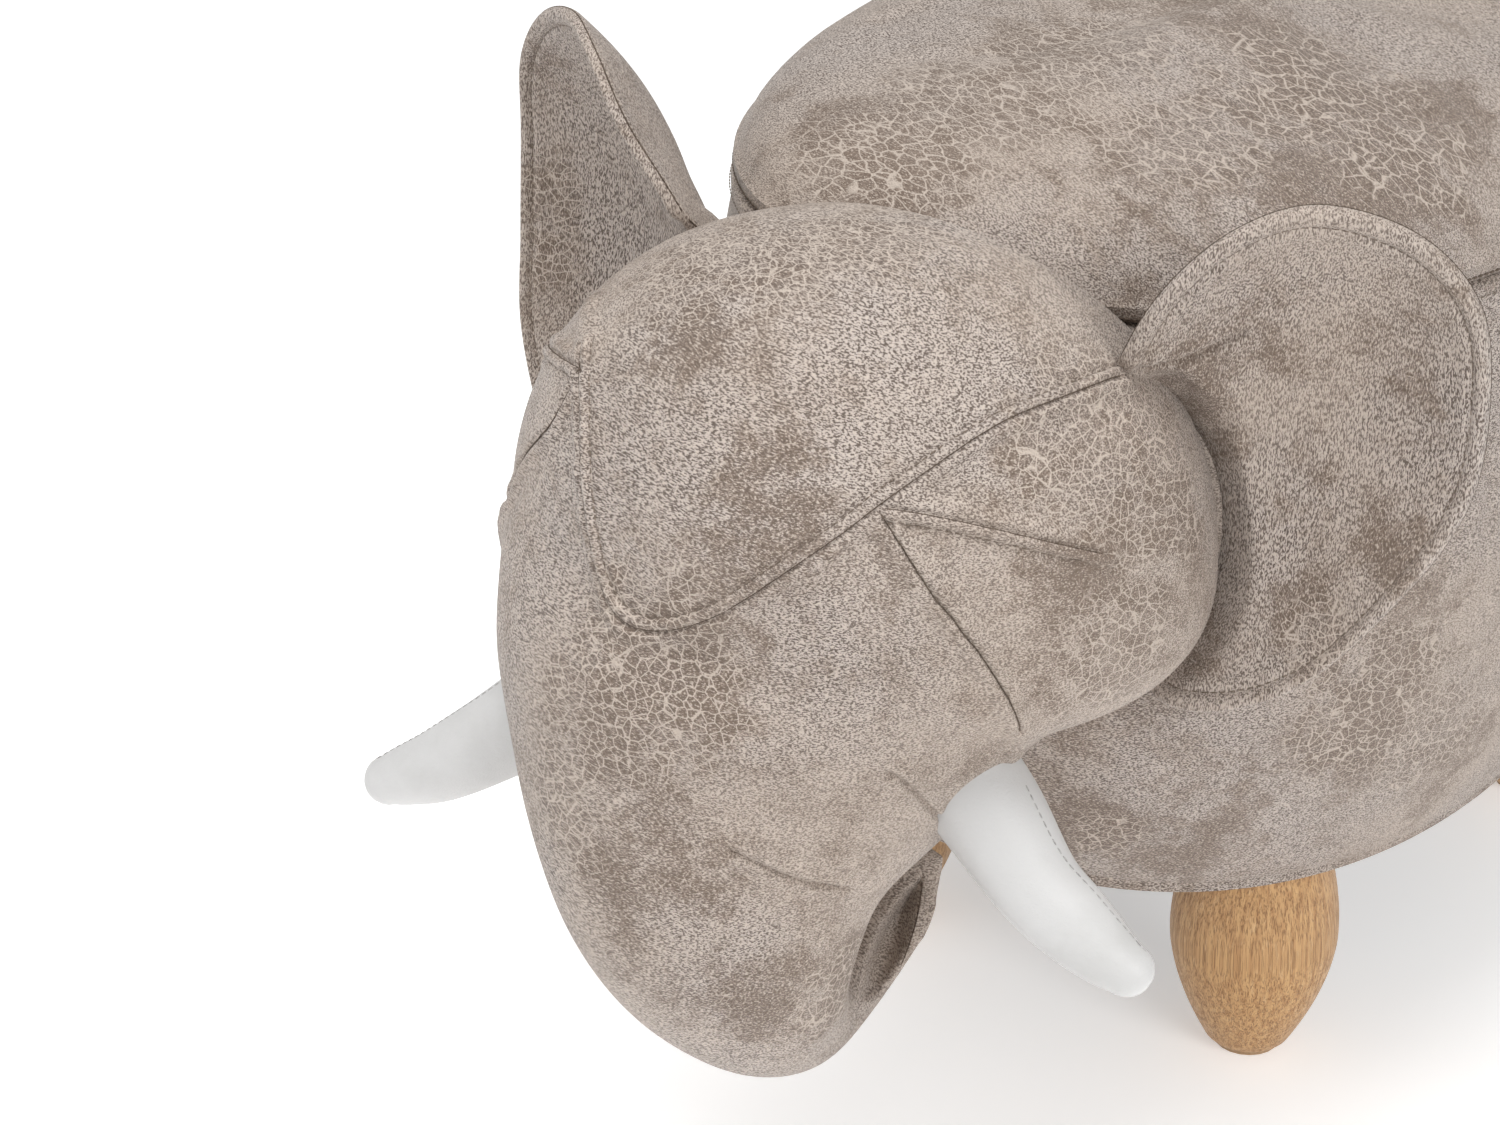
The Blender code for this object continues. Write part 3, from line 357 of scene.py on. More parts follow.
felt, felt_shader, place = new_material("pressed_felt", 0.95, sheen=0.4)
felt_fibre = place.noise(1400.0, 4.0, 0.7)
paint(felt_shader, "Base Color", felt_fibre.step(0.3, 0.7).mix(FELT_BROWN, FELT_PALE))
raise_bump(felt_shader, felt_fibre, 0.0003)
wear([f"glide_{corner}" for corner in CORNERS], felt)

# Body cover: distressed leather cloth drawn over foam round the box, turned under and stapled to the base
# board. A row of topstitching runs just below its upper edge, where the lid comes down on it.
BODY_Y = 0.0681
BODY_HALF_LENGTH = 0.244
BODY_HALF_WIDTH = 0.176
BODY_BOTTOM = 0.087
BELLY_HEIGHT = 0.239
FRONT_POWER = 2.4
REAR_POWER = 3.2
BOTTOM_DRAW = (0.034, 0.060)
SEAM_DRAW = (0.008, 0.014)
DRAW_POWER = 2.4
PLAN_POINTS = 160
COVER_RINGS = 30
COVER_TURN_UNDER = 0.011
COVER_CORNER = 0.012
COVER_EDGE_ROUND = 0.0035
COVER_HEM_LIFT = 0.002
COVER_TACK_HEIGHT = 0.006
COVER_TOP_DROP = 0.0004
COVER_HELD_RINGS = 3
COVER_CAP = 0.0034
FOAM_PRESSURE = 2.0
BOARD_GAP = 0.0006
SWELL = 0.0022
STUFFING_FRAMES = 20
TINY = 1e-9
# Stitches are given by their pitch, length and radius.
TOPSTITCH = (0.0033, 0.0026, 0.00036)
TOPSTITCH_DROP = 0.0055
STITCH_FLATNESS = 0.8

HIDE_PALE = (0.515, 0.428, 0.362, 1)
HIDE_LILAC = (0.520, 0.452, 0.408, 1)
HIDE_MID = (0.315, 0.243, 0.190, 1)
HIDE_BROWN = (0.165, 0.112, 0.077, 1)
# Pale colour of the cracked net, also used for the painted highlight on the grain's ridges.
HIDE_NET_AND_HIGHLIGHT = (0.600, 0.512, 0.438, 1)
HIDE_PIT = (0.080, 0.051, 0.035, 1)
GRAIN_SCALE = 1750.0
GRAIN_DRAW = (0.34, 0.72, 1.25)
HIDE_TURN = (0.0, 0.0, 20.0)
SCALE_SIZE = 0.0042
SCALE_DRAW = (0.8, 1.0, 1.1)
RUB_REACH = 1.7
# Rubbed and netted patches: a pixel of the photograph and a radius on the surface.
BODY_RUBS = ((1390, 700, 0.034), (1300, 745, 0.022), (1440, 770, 0.024), (1110, 835, 0.020),
             (1210, 850, 0.022))
BODY_NETS = ((1380, 695, 0.024), (1345, 730, 0.020), (1430, 735, 0.022), (1115, 838, 0.012))

seam_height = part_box("front_panel")[1].z
base_low, base_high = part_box("base_board")
box_half_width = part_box("front_panel")[1].x
box_half_length = (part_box("rear_panel")[1].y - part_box("front_panel")[0].y) / 2


def hide(name, shift, worn_level=0.0, draw=GRAIN_DRAW, cell=SCALE_SIZE, cell_draw=SCALE_DRAW):
    """Leather cloth with a dense pitted grain and painted highlights on it, rubbed brown in patches and cracked
    there to a net of scales.
    """
    material, shader, place = new_material(name, 0.6, sheen=0.1)
    spot = place.moved(location=shift)
    drift = spot.bent(12.0, 0.03)
    turned = spot.bent(10.0, 0.010).moved(turn=HIDE_TURN)
    grain = turned.moved(scale=draw).noise(GRAIN_SCALE, 2.0, 0.55)
    nap = spot.noise(1700.0, 2.0, 0.6)
    mottle = drift.moved(turn=HIDE_TURN).moved(scale=cell_draw).noise(85.0, 5.0, 0.70)
    tone = spot.noise(9.0, 4.0, 0.6)
    patch = drift.moved(location=(3.1, 1.7, 5.3)).noise(16.0, 5.0, 0.62)
    # The rub attribute carries rubbed wear, and on the trunk's underside and along the left ear's root it also
    # carries painted shade.
    rubbed_and_shaded = place.node("Attribute", {"attribute_name": "rub_and_shade"}, {}, 2)
    broken = mottle - 0.5 + (grain - 0.5) * 0.7
    region = (rubbed_and_shaded * 0.42 + (patch - 0.5) * 1.6 + broken + worn_level).step(0.04, 0.40)
    scales = turned.bent(70.0, 0.004).moved(scale=cell_draw)
    edge = scales.node("TexVoronoi", {"feature": "DISTANCE_TO_EDGE"}, {"Vector": scales, "Scale": 1 / cell})
    cracked = place.node("Attribute", {"attribute_name": "net"}, {}, 2)
    netted = (cracked * 0.55 + region * 0.10 + (mottle - 0.5) * 1.5).step(0.10, 0.44)
    net = (1 - (edge - (nap - 0.5) * 0.12).step(0.01, 0.075)) * netted
    pit = grain.step(0.46, 0.59) * (tone.step(0.34, 0.60) * 0.30 + 0.62)
    coat = tone.step(0.32, 0.68).mix(HIDE_PALE, HIDE_LILAC)
    coat = ((patch + mottle).step(0.92, 1.20) * 0.6).mix(coat, HIDE_MID)
    coat = (region * 0.76).larger(netted * 0.50).mix(coat, HIDE_BROWN)
    # Painted highlight: pale flecks on the raised ridges of the grain, where its lit side would be.
    coat = (grain.step(0.45, 0.34) * 0.75).mix(coat, HIDE_NET_AND_HIGHLIGHT)
    coat = (pit * (1 - region * 0.3)).mix(coat, HIDE_PIT)
    paint(shader, "Base Color", (net * 0.82).mix(coat, HIDE_NET_AND_HIGHLIGHT))
    paint(shader, "Roughness", grain * 0.16 + nap * 0.1 + 0.44)
    raise_bump(shader, nap * 0.25 + mottle * 0.4 - grain * 0.9, 0.0010)
    return material


def tree_of(piece):
    mesh = piece.data
    return BVHTree.FromPolygons([v.co for v in mesh.vertices], [p.vertices for p in mesh.polygons])


def photo_points(tree, pixels):
    """Where pixels of the photograph lie on a surface."""
    found = [tree.ray_cast(CAMERA_EYE, pixel_ray(pixel))[0] for pixel in pixels]
    return [spot for spot in found if spot is not None]


def mark(piece, name, patches):
    """Mark patches seen at pixels of the photograph on a piece, each with its radius, for its material."""
    tree = tree_of(piece)
    points = points_of(piece)
    worn = np.zeros(len(points))
    for x, y, radius in patches:
        for spot in photo_points(tree, [(x, y)]):
            away = np.linalg.norm(points - spot, axis=1) / (radius * RUB_REACH)
            worn = np.maximum(worn, 1 - np.minimum(away, 1.0) ** 2)
    piece.data.attributes.new(name, "FLOAT", "POINT").data.foreach_set("value", worn)


def bulged(value, power):
    """A share of an outline, rounded by its power."""
    return np.sign(value) * np.abs(value) ** (2 / power)


def oval_ring(half_width, half_length, z):
    """Plan outline of the body: round in front, flatter behind."""
    turn = np.arange(PLAN_POINTS) * tau / PLAN_POINTS
    power = np.where(np.sin(turn) < 0, FRONT_POWER, REAR_POWER)
    x = half_width * bulged(np.cos(turn), power)
    y = BODY_Y + half_length * bulged(np.sin(turn), power)
    return np.column_stack((x, y, np.full(PLAN_POINTS, z)))


def box_ring(half_width, half_length, z):
    """Plan outline of a rectangle, with points in the same directions as the body's."""
    outer = oval_ring(BODY_HALF_WIDTH, BODY_HALF_LENGTH, z)
    way = outer[:, :2] - (0.0, BODY_Y)
    reach = 1 / np.maximum(np.abs(way[:, 0]) / half_width, np.abs(way[:, 1]) / half_length)
    return np.column_stack((way[:, 0] * reach, BODY_Y + way[:, 1] * reach, np.full(PLAN_POINTS, z)))


def drawn_in(z):
    """How far the cover is drawn in from its widest outline, at the sides and at the ends."""
    if z < BELLY_HEIGHT:
        share = ((BELLY_HEIGHT - z) / (BELLY_HEIGHT - BODY_BOTTOM)) ** DRAW_POWER
        return BOTTOM_DRAW[0] * share, BOTTOM_DRAW[1] * share
    share = (min(z, seam_height) - BELLY_HEIGHT) / (seam_height - BELLY_HEIGHT)
    return SEAM_DRAW[0] * share ** DRAW_POWER, SEAM_DRAW[1] * share ** DRAW_POWER


def body_ring(z, inset=0.0):
    side, end = drawn_in(z)
    return oval_ring(BODY_HALF_WIDTH - side - inset, BODY_HALF_LENGTH - end - inset, z)


def skin_rings(name, rings, closed=False):
    """A skin through rings of points. One that isn't closed to a loop has its ends filled."""
    count = len(rings[0])
    faces = []
    spans = len(rings) if closed else len(rings) - 1
    for i in range(spans):
        low, high = i * count, (i + 1) % len(rings) * count
        faces += [(low + k, low + (k + 1) % count, high + (k + 1) % count, high + k) for k in range(count)]
    if not closed:
        faces += [tuple(range(count)), tuple(range((len(rings) - 1) * count, len(rings) * count))]
    piece = new_piece(name, np.concatenate(rings), faces)
    edit_all(piece)
    bpy.ops.mesh.normals_make_consistent(inside=False)
    bpy.ops.object.mode_set(mode="OBJECT")
    return piece


def rows_of(items, field):
    """A vector of each item, as rows."""
    flat = np.empty(len(items) * 3)
    items.foreach_get(field, flat)
    return flat.reshape(-1, 3)


def points_of(piece):
    return rows_of(piece.data.vertices, "co")


def normals_of(piece):
    return rows_of(piece.data.vertex_normals, "vector")


def set_points(piece, points):
    piece.data.vertices.foreach_set("co", points.ravel())
    piece.data.update()


def unit(rows):
    """Vectors made one unit long."""
    return rows / np.maximum(np.linalg.norm(rows, axis=-1, keepdims=True), TINY)


def travel_along(path):
    """Distance from the start of a path to each of its points."""
    return np.concatenate(([0.0], np.cumsum(np.linalg.norm(np.diff(path, axis=0), axis=1))))


def stuff(piece, held, cap, pressure):
    """Swell a skin with stuffing. The held points stay, and no point moves further than the cap."""
    before = points_of(piece)
    before[~held] -= normals_of(piece)[~held] * SWELL
    set_points(piece, before)
    group = piece.vertex_groups.new(name="held")
    group.add([int(i) for i in np.flatnonzero(held)], 1.0, "REPLACE")
    swelling = piece.modifiers.new("stuffing", "CLOTH")
    settings = swelling.settings
    settings.quality = 4
    settings.bending_stiffness = 4.0
    settings.use_pressure = True
    settings.uniform_pressure_force = pressure
    settings.effector_weights.gravity = 0.0
    settings.vertex_group_mass = "held"
    swelling.point_cache.frame_end = STUFFING_FRAMES
    for step in range(1, STUFFING_FRAMES + 1):
        bpy.context.scene.frame_set(step)
    make_active(piece)
    bpy.ops.object.modifier_apply(modifier=swelling.name)
    bpy.context.scene.frame_set(1)
    piece.vertex_groups.clear()
    moved = points_of(piece) - before
    length = np.linalg.norm(moved, axis=1, keepdims=True)
    set_points(piece, before + moved * np.minimum(1.0, cap / np.maximum(length, TINY)))


def stitch_row(name, line, normals, size, thread, slot="hide", body="pouf_body", lift=0.0):
    """A row of thread stitches along a line of close points, lying on the surface."""
    pitch, length, radius = size
    travel = travel_along(line)
    bpy.ops.object.select_all(action="DESELECT")
    bpy.ops.mesh.primitive_uv_sphere_add(segments=6, ring_count=5, radius=1.0)
    pattern = bpy.context.object
    shape = points_of(pattern)
    loops = [tuple(p.vertices) for p in pattern.data.polygons]
    bpy.data.objects.remove(pattern)
    marks = (np.arange(int(travel[-1] / pitch)) + 0.5) * pitch

    def between(values, places):
        return np.column_stack([np.interp(places, travel, values[:, k]) for k in range(3)])[:, None]

    along = unit(between(line, marks + length / 2) - between(line, marks - length / 2))
    across = unit(np.cross(between(normals, marks), along))
    up = np.cross(along, across)
    points = between(line, marks) + up * lift + shape[:, :1] * across * radius
    points = points + shape[:, 1:2] * up * radius * STITCH_FLATNESS + shape[:, 2:] * along * length / 2
    faces = [tuple(i * len(shape) + v for v in loop) for i in range(len(marks)) for loop in loops]
    finish_piece(new_piece(name, points.reshape(-1, 3), faces), thread, slot, body)


def outline_row(ring):
    """A closed ring as a line with outward normals."""
    ahead = np.roll(ring, -1, axis=0) - np.roll(ring, 1, axis=0)
    outward = unit(np.column_stack((ahead[:, 1], -ahead[:, 0], np.zeros(len(ring)))))
    return np.vstack((ring, ring[:1])), np.vstack((outward, outward[:1]))


def sewing_thread(name, roughness, dark, pale, sheen=0.0):
    """Twisted sewing thread."""
    material, shader, place = new_material(name, roughness, sheen=sheen)
    twist = place.moved(turn=(40, 30, 0), scale=(900.0, 2600.0, 900.0)).noise(1.0, 1.0)
    paint(shader, "Base Color", twist.step(0.35, 0.65).mix(dark, pale))
    raise_bump(shader, twist, 0.0002)
    return material


taupe_thread = sewing_thread("taupe_thread", 0.7, (0.11, 0.080, 0.058, 1), (0.22, 0.17, 0.13, 1), sheen=0.2)
dark_thread = sewing_thread("dark_thread", 0.8, (0.055, 0.038, 0.026, 1), (0.13, 0.095, 0.07, 1))

cover_rings = [body_ring(BODY_BOTTOM + COVER_HEM_LIFT, COVER_TURN_UNDER)]
for i in range(1, 5):
    turn = pi / 2 * i / 4
    inset = COVER_TURN_UNDER * (1 - sin(turn))
    cover_rings.append(body_ring(BODY_BOTTOM + COVER_CORNER * (1 - cos(turn)), inset))
side_low = BODY_BOTTOM + COVER_CORNER
for i in range(1, COVER_RINGS + 1):
    cover_rings.append(body_ring(side_low + (seam_height - COVER_EDGE_ROUND - side_low) * i / COVER_RINGS))
free_rings = len(cover_rings) - 1
for i in range(1, 4):
    turn = pi / 2 * i / 3
    inset = COVER_EDGE_ROUND * (1 - cos(turn))
    cover_rings.append(body_ring(seam_height - COVER_EDGE_ROUND * (1 - sin(turn)), inset))
outer = body_ring(seam_height, COVER_EDGE_ROUND)
inner = box_ring(box_half_width + BOARD_GAP, box_half_length + BOARD_GAP, seam_height - COVER_TOP_DROP)
cover_rings += [outer + (inner - outer) * share for share in (0.33, 0.66)]
cover_rings.append(inner)
inner_drop = base_high.z + BOARD_GAP - inner[0, 2]
cover_rings += [inner + np.array((0.0, 0.0, inner_drop * share)) for share in (0.25, 0.5, 0.75, 1.0)]
base_half = (base_high - base_low) / 2
for z in (base_high.z + BOARD_GAP, BODY_BOTTOM + COVER_TACK_HEIGHT):
    cover_rings.append(oval_ring(base_half.x + BOARD_GAP, base_half.y + BOARD_GAP, z))
cover = skin_rings("body_cover", cover_rings, closed=True)
held = np.ones(len(cover.data.vertices), bool)
held[COVER_HELD_RINGS * PLAN_POINTS:free_rings * PLAN_POINTS] = False
stuff(cover, held, COVER_CAP, FOAM_PRESSURE)
mark(cover, "rub_and_shade", BODY_RUBS)
mark(cover, "net", BODY_NETS)
finish_piece(cover, hide("body_hide", (1.3, 0.2, 0.7), -0.04), "hide", "pouf_body", "chest_pad", "rump_pad",
             "left_flank_pad", "right_flank_pad")
stitch_row("cover_topstitch", *outline_row(body_ring(seam_height - TOPSTITCH_DROP)), TOPSTITCH, taupe_thread)

# Lid cushion: the same leather cloth over crowned foam on the lid board, turned under its edge.
# Its hem is sewn all round, close to the parting line, and it lifts on two hinges at the rear.
LID_CROWN = 0.056
LID_SIDE_POWER = 2.5
LID_TOP_POWER = 2.1
LID_RINGS = 30
LID_HEM = 0.0022
LID_BOARD_MARGIN = 0.010
LID_EDGE_ROUND = 0.003
LID_CENTRE = 0.01
LID_CAP = 0.0036
LID_STITCH = (0.0030, 0.0028, 0.00055)
LID_GRAIN = (0.42, 1.25, 1.25)
LID_SCALE_SIZE = 0.0050
LID_SCALE_DRAW = (0.55, 1.25, 1.0)
LID_RUBS = ((960, 110, 0.044), (1080, 60, 0.036), (915, 175, 0.026), (1170, 150, 0.028), (1290, 80, 0.040),
            (1360, 180, 0.030), (1430, 110, 0.030), (850, 110, 0.018), (1210, 20, 0.030))
LID_NETS = ((1000, 90, 0.034), (1080, 50, 0.028), (930, 150, 0.026), (1180, 140, 0.022), (1300, 80, 0.032),
            (850, 150, 0.020), (1400, 150, 0.022))

lid_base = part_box("lid_cushion")[0].z
pocket_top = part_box("lid_board")[1].z + BOARD_GAP
seam_half_width = BODY_HALF_WIDTH - SEAM_DRAW[0]
seam_half_length = BODY_HALF_LENGTH - SEAM_DRAW[1]
pocket_half_width = seam_half_width - LID_BOARD_MARGIN + BOARD_GAP
pocket_half_length = seam_half_length - LID_BOARD_MARGIN + BOARD_GAP
lid_rings = [oval_ring(LID_CENTRE * seam_half_width, LID_CENTRE * seam_half_length, pocket_top)]
for share in (0.35, 0.7, 1.0):
    lid_rings.append(oval_ring(pocket_half_width * share, pocket_half_length * share, pocket_top))
lid_rings.append(oval_ring(pocket_half_width, pocket_half_length, lid_base))
for i in range(4):
    turn = pi / 2 * i / 3
    inset = LID_EDGE_ROUND * (1 - sin(turn))
    lid_rings.append(oval_ring(seam_half_width - inset, seam_half_length - inset,
                               lid_base + LID_EDGE_ROUND * (1 - cos(turn))))
hem_ring = len(lid_rings)
for i in range(1, LID_RINGS):
    turn = pi / 2 * i / LID_RINGS
    share = cos(turn) ** (2 / LID_SIDE_POWER)
    rise = sin(turn) ** (2 / LID_TOP_POWER)
    z = lid_base + LID_EDGE_ROUND + (LID_CROWN - LID_EDGE_ROUND) * rise
    lid_rings.append(oval_ring(seam_half_width * share, seam_half_length * share, z))
lid = skin_rings("lid_cover", lid_rings)
held = np.zeros(len(lid.data.vertices), bool)
held[:(hem_ring + 1) * PLAN_POINTS] = True
stuff(lid, held, LID_CAP, FOAM_PRESSURE)
mark(lid, "rub_and_shade", LID_RUBS)
mark(lid, "net", LID_NETS)
lid_hide = hide("lid_hide", (0.4, 2.2, 1.9), 0.0, LID_GRAIN, LID_SCALE_SIZE, LID_SCALE_DRAW)
finish_piece(lid, lid_hide, "hide", "lid", "lid_cushion")
hem_line = outline_row(oval_ring(seam_half_width, seam_half_length, lid_base + LID_HEM))
stitch_row("lid_hem_stitch", *hem_line, LID_STITCH, dark_thread, body="lid")

# Head and trunk: one stuffed skin of leather cloth, pieced from a forehead panel, two cheeks and a trunk
# sleeve. The seams are sewn inside out, and the forehead panel and the cheek darts are topstitched beside them.
HEAD_REACH = 0.120
HEAD_UP = 0.120
HEAD_DOWN = 0.057
HEAD_PLAN_POWER = 1.85
HEAD_TOP_POWER = 2.17
HEAD_JAW_POWER = 2.05
# Trunk stations: ahead of and above the head's middle, half width, half depth and lean to the side.
TRUNK_STATIONS = (
    (0.0385, -0.0085, 0.118, 0.080, -0.008),
    (0.063, -0.051, 0.096, 0.078, -0.0135),
    (0.083, -0.087, 0.0735, 0.058, -0.013),
    (0.0885, -0.115, 0.0585, 0.050, -0.005),
    (0.082, -0.1405, 0.048, 0.036, 0.0),
    (0.0595, -0.162, 0.0375, 0.0285, 0.0),
    (0.029, -0.1615, 0.034, 0.0165, 0.0),
    (0.0095, -0.145, 0.038, 0.011, 0.0),
    (-0.001, -0.1275, 0.036, 0.0095, 0.0),
    (-0.003, -0.1170, 0.035, 0.0085, 0.0),
)
SKIN_VOXEL = 0.0042
SKIN_SMOOTHING = 8
SKIN_SMOOTH_ANGLE = 60.0
HEAD_CAP = 0.0042
HEAD_PRESSURE = 4.0
LID_CLEARANCE = 0.0012
SEAM_WIDTH = 0.0009
SEAM_DEPTH = 0.0011
SEAM_PUCKER = 0.0004
SEAM_STITCH = (0.0024, 0.0030, 0.00034)
SEAM_REFINE = (0.0034, 0.0018)
PUCKER_AWAY = 3.2
PUCKER_WIDTH = 1.8
SEAM_REACH = 9
PLEAT_DEPTH = 1.4 * SEAM_DEPTH
TOPSTITCH_INSET = 0.0052
TOPSTITCH_DEPTH = 0.0007
RIGHT_SEAM_RISE = 0.015
LINE_REACH = 0.02
LINE_SPACING = 0.001
LINE_STEPS = 24

# Seams, pleats and the hollow of the trunk's tip, as pixels of the photograph.
FOREHEAD_SEAM = ((626, 244), (605, 266), (587, 297), (580, 342), (578, 412), (581, 497), (590, 550), (603, 598),
                 (626, 626), (658, 633), (695, 626), (734, 608), (784, 575), (841, 536), (877, 508), (925, 474),
                 (1000, 424), (1070, 395), (1130, 376))
DART_SEAM = ((880, 506), (925, 513), (1000, 529), (1060, 543), (1112, 555))
CHEEK_SEAM = ((878, 509), (905, 553), (928, 589), (953, 620), (975, 648), (994, 675), (1012, 706), (1022, 735),
              (1022, 760))
RIGHT_DART_START = (578, 374)
TUSK_PLEAT = ((887, 773), (902, 781), (926, 804), (949, 826))
TUSK_PLEAT_SIDE = ((950, 824), (958, 815), (966, 805))
TRUNK_CREASE = ((728, 851), (766, 868), (792, 879), (825, 886), (850, 889))
TIP_HOLLOW = ((925, 870), (905, 888), (890, 906), (876, 928), (867, 949), (860, 972), (857, 990), (860, 1003),
              (872, 1003), (886, 997), (899, 971), (911, 943), (920, 909), (925, 885))
TIP_HOLLOW_DEPTH = 0.010
TIP_HOLLOW_BLEND = 16.0
TIP_SEAM = ((922, 878), (919, 909), (910, 943), (898, 971))
# Rubbed patches on the head. The last two, on the trunk's underside, are painted shade that darkens it where it
# faces down and away from the lights.
HEAD_RUBS_AND_SHADE = ((700, 268, 0.026), (770, 275, 0.020), (890, 228, 0.022), (705, 320, 0.020), (820, 292, 0.016),
             (780, 500, 0.020), (690, 565, 0.020), (640, 660, 0.032), (700, 650, 0.022), (560, 740, 0.024),
             (620, 740, 0.022), (1130, 440, 0.030), (1050, 440, 0.022), (1170, 500, 0.020), (1075, 590, 0.018),
             (1115, 650, 0.026), (880, 570, 0.014), (840, 990, 0.020), (600, 840, 0.018),
             (650, 900, 0.026), (720, 990, 0.024))
HEAD_NETS = ((1110, 430, 0.028), (1155, 480, 0.024), (1075, 465, 0.018), (700, 262, 0.024), (775, 255, 0.024),
             (860, 236, 0.024), (640, 655, 0.028), (665, 705, 0.020), (600, 705, 0.022), (1120, 650, 0.018),
             (840, 990, 0.016), (560, 790, 0.018))

head_low, head_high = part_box("head")
head_half_width = head_high.x
head_middle = Vector((0.0, head_low.y + HEAD_REACH, head_high.z - HEAD_UP))


def smooth_path(stations, steps):
    """Points of a curve that passes through every station."""
    known = np.array(stations, float)
    known = np.vstack((known[:1], known, known[-1:]))
    path = []
    for before, start, end, after in zip(known, known[1:], known[2:], known[3:]):
        for t in np.arange(steps) / steps:
            square = 2 * before - 5 * start + 4 * end - after
            cube = 3 * start - before - 3 * end + after
            path.append(0.5 * (2 * start + (end - before) * t + square * t ** 2 + cube * t ** 3))
    return np.array(path + [known[-1]])


def head_skin(name):
    """A full round form, much deeper above its middle than below."""
    steps, around = 48, 96
    way = np.arange(around) * tau / around
    rings = []
    for i in range(1, steps):
        turn = -pi / 2 + pi * i / steps
        power = HEAD_TOP_POWER if turn > 0 else HEAD_JAW_POWER
        share = cos(turn) ** (2 / power)
        rise = float(bulged(np.array(sin(turn)), power))
        half_width = np.where(np.cos(way) < 0, -head_low.x, head_half_width)
        x = half_width * share * bulged(np.cos(way), HEAD_PLAN_POWER)
        y = head_middle.y + HEAD_REACH * share * bulged(np.sin(way), HEAD_PLAN_POWER)
        z = head_middle.z + rise * (HEAD_UP if rise > 0 else HEAD_DOWN)
        rings.append(np.column_stack((x, y, np.full(around, z))))
    return skin_rings(name, rings)


def trunk_skin(name):
    """A tapering sweep that leans a little to one side and hooks back at its tip."""
    steps, around = 6, 48
    path = smooth_path(TRUNK_STATIONS, steps)
    turn = np.arange(around) * tau / around
    rings = []
    for i, (ahead, rise, half_width, half_depth, lean) in enumerate(path):
        before, after = path[max(i - 1, 0)], path[min(i + 1, len(path) - 1)]
        along = Vector((before[0] - after[0], after[1] - before[1])).normalized()
        lift = half_depth * np.sin(turn)
        rings.append(np.column_stack((lean + half_width * np.cos(turn), head_middle.y - ahead + along.y * lift,
                                      head_middle.z + rise - along.x * lift)))
    return skin_rings(name, rings)


def joined(pieces):
    """Several pieces as one object, under the name of the first."""
    make_active(pieces[0])
    for piece in pieces[1:]:
        piece.select_set(True)
    bpy.ops.object.join()
    return bpy.context.object


def one_skin(name, pieces, voxel, smoothing):
    """Melt overlapping forms into one even skin."""
    skin = joined(pieces)
    skin.name = name
    skin.data.remesh_voxel_size = voxel
    bpy.ops.object.voxel_remesh()
    easing = skin.modifiers.new("ease", "SMOOTH")
    easing.factor = 0.5
    easing.iterations = smoothing
    bpy.ops.object.modifier_apply(modifier=easing.name)
    return skin


def laid_line(tree, points):
    """A line of close points on a surface near some points, with the surface's normals."""
    path = smooth_path(points, LINE_STEPS)
    travel = travel_along(path)
    line, normals = [], []
    for way in np.arange(0.0, travel[-1], LINE_SPACING):
        spot, normal, _, _ = tree.find_nearest(Vector([np.interp(way, travel, path[:, k]) for k in range(3)]))
        line.append(spot)
        normals.append(normal)
    return eased(line), eased(normals)


def eased(line, span=4):
    """A line with its small kinks averaged out."""
    line = np.array(line)
    padded = np.concatenate((np.repeat(line[:1], span, 0), line, np.repeat(line[-1:], span, 0)))
    return sum(padded[i:i + len(line)] for i in range(2 * span + 1)) / (2 * span + 1)


def mirrored(points):
    """Points on the other side of the head, a little higher, as that side is sewn."""
    return [Vector((-p.x, p.y, p.z + RIGHT_SEAM_RISE)) for p in points]


def shifted_line(tree, line, normals, sideways):
    """A line beside another on a surface, to the left of its way."""
    along = unit(np.gradient(line, axis=0))
    beside = line + np.cross(normals, along) * sideways
    found = [tree.find_nearest(Vector(p)) for p in beside]
    return eased([f[0] for f in found]), eased([f[1] for f in found])


def distance_to(points, lines):
    """Distance of each point to the nearest point of some lines, or the reach for those far off."""
    marks = np.concatenate(lines)
    near = KDTree(len(marks))
    for i, spot in enumerate(marks):
        near.insert(spot, i)
    near.balance()
    gaps = np.full(len(points), LINE_REACH)
    low, high = marks.min(axis=0) - LINE_REACH, marks.max(axis=0) + LINE_REACH
    near_by = ((points > low) & (points < high)).all(axis=1)
    gaps[near_by] = [near.find(p)[2] for p in points[near_by]]
    return gaps


def refine(piece, lines, reach):
    """Divide the faces near some lines once more."""
    mesh = piece.data
    close = distance_to(points_of(piece), lines) < reach
    make_active(piece)
    bpy.ops.object.mode_set(mode="EDIT")
    bpy.ops.mesh.select_mode(type="FACE")
    bpy.ops.mesh.select_all(action="DESELECT")
    bpy.ops.object.mode_set(mode="OBJECT")
    corners = np.empty(len(mesh.loops), int)
    mesh.loops.foreach_get("vertex_index", corners)
    starts = np.empty(len(mesh.polygons), int)
    mesh.polygons.foreach_get("loop_start", starts)
    mesh.polygons.foreach_set("select", np.logical_or.reduceat(close[corners], starts))
    bpy.ops.object.mode_set(mode="EDIT")
    bpy.ops.mesh.subdivide(number_cuts=1, smoothness=0.0)
    bpy.ops.object.mode_set(mode="OBJECT")


def sew(piece, lines, width, depth):
    """Press seams into a skin along some lines, with a low pucker on either side."""
    points = points_of(piece)
    gap = distance_to(points, lines)
    pucker = SEAM_PUCKER * np.exp(-((gap - PUCKER_AWAY * width) / (PUCKER_WIDTH * width)) ** 2)
    press = depth * np.exp(-(gap / width) ** 2) - pucker
    press[gap > SEAM_REACH * width] = 0.0
    set_points(piece, points - normals_of(piece) * press[:, None])


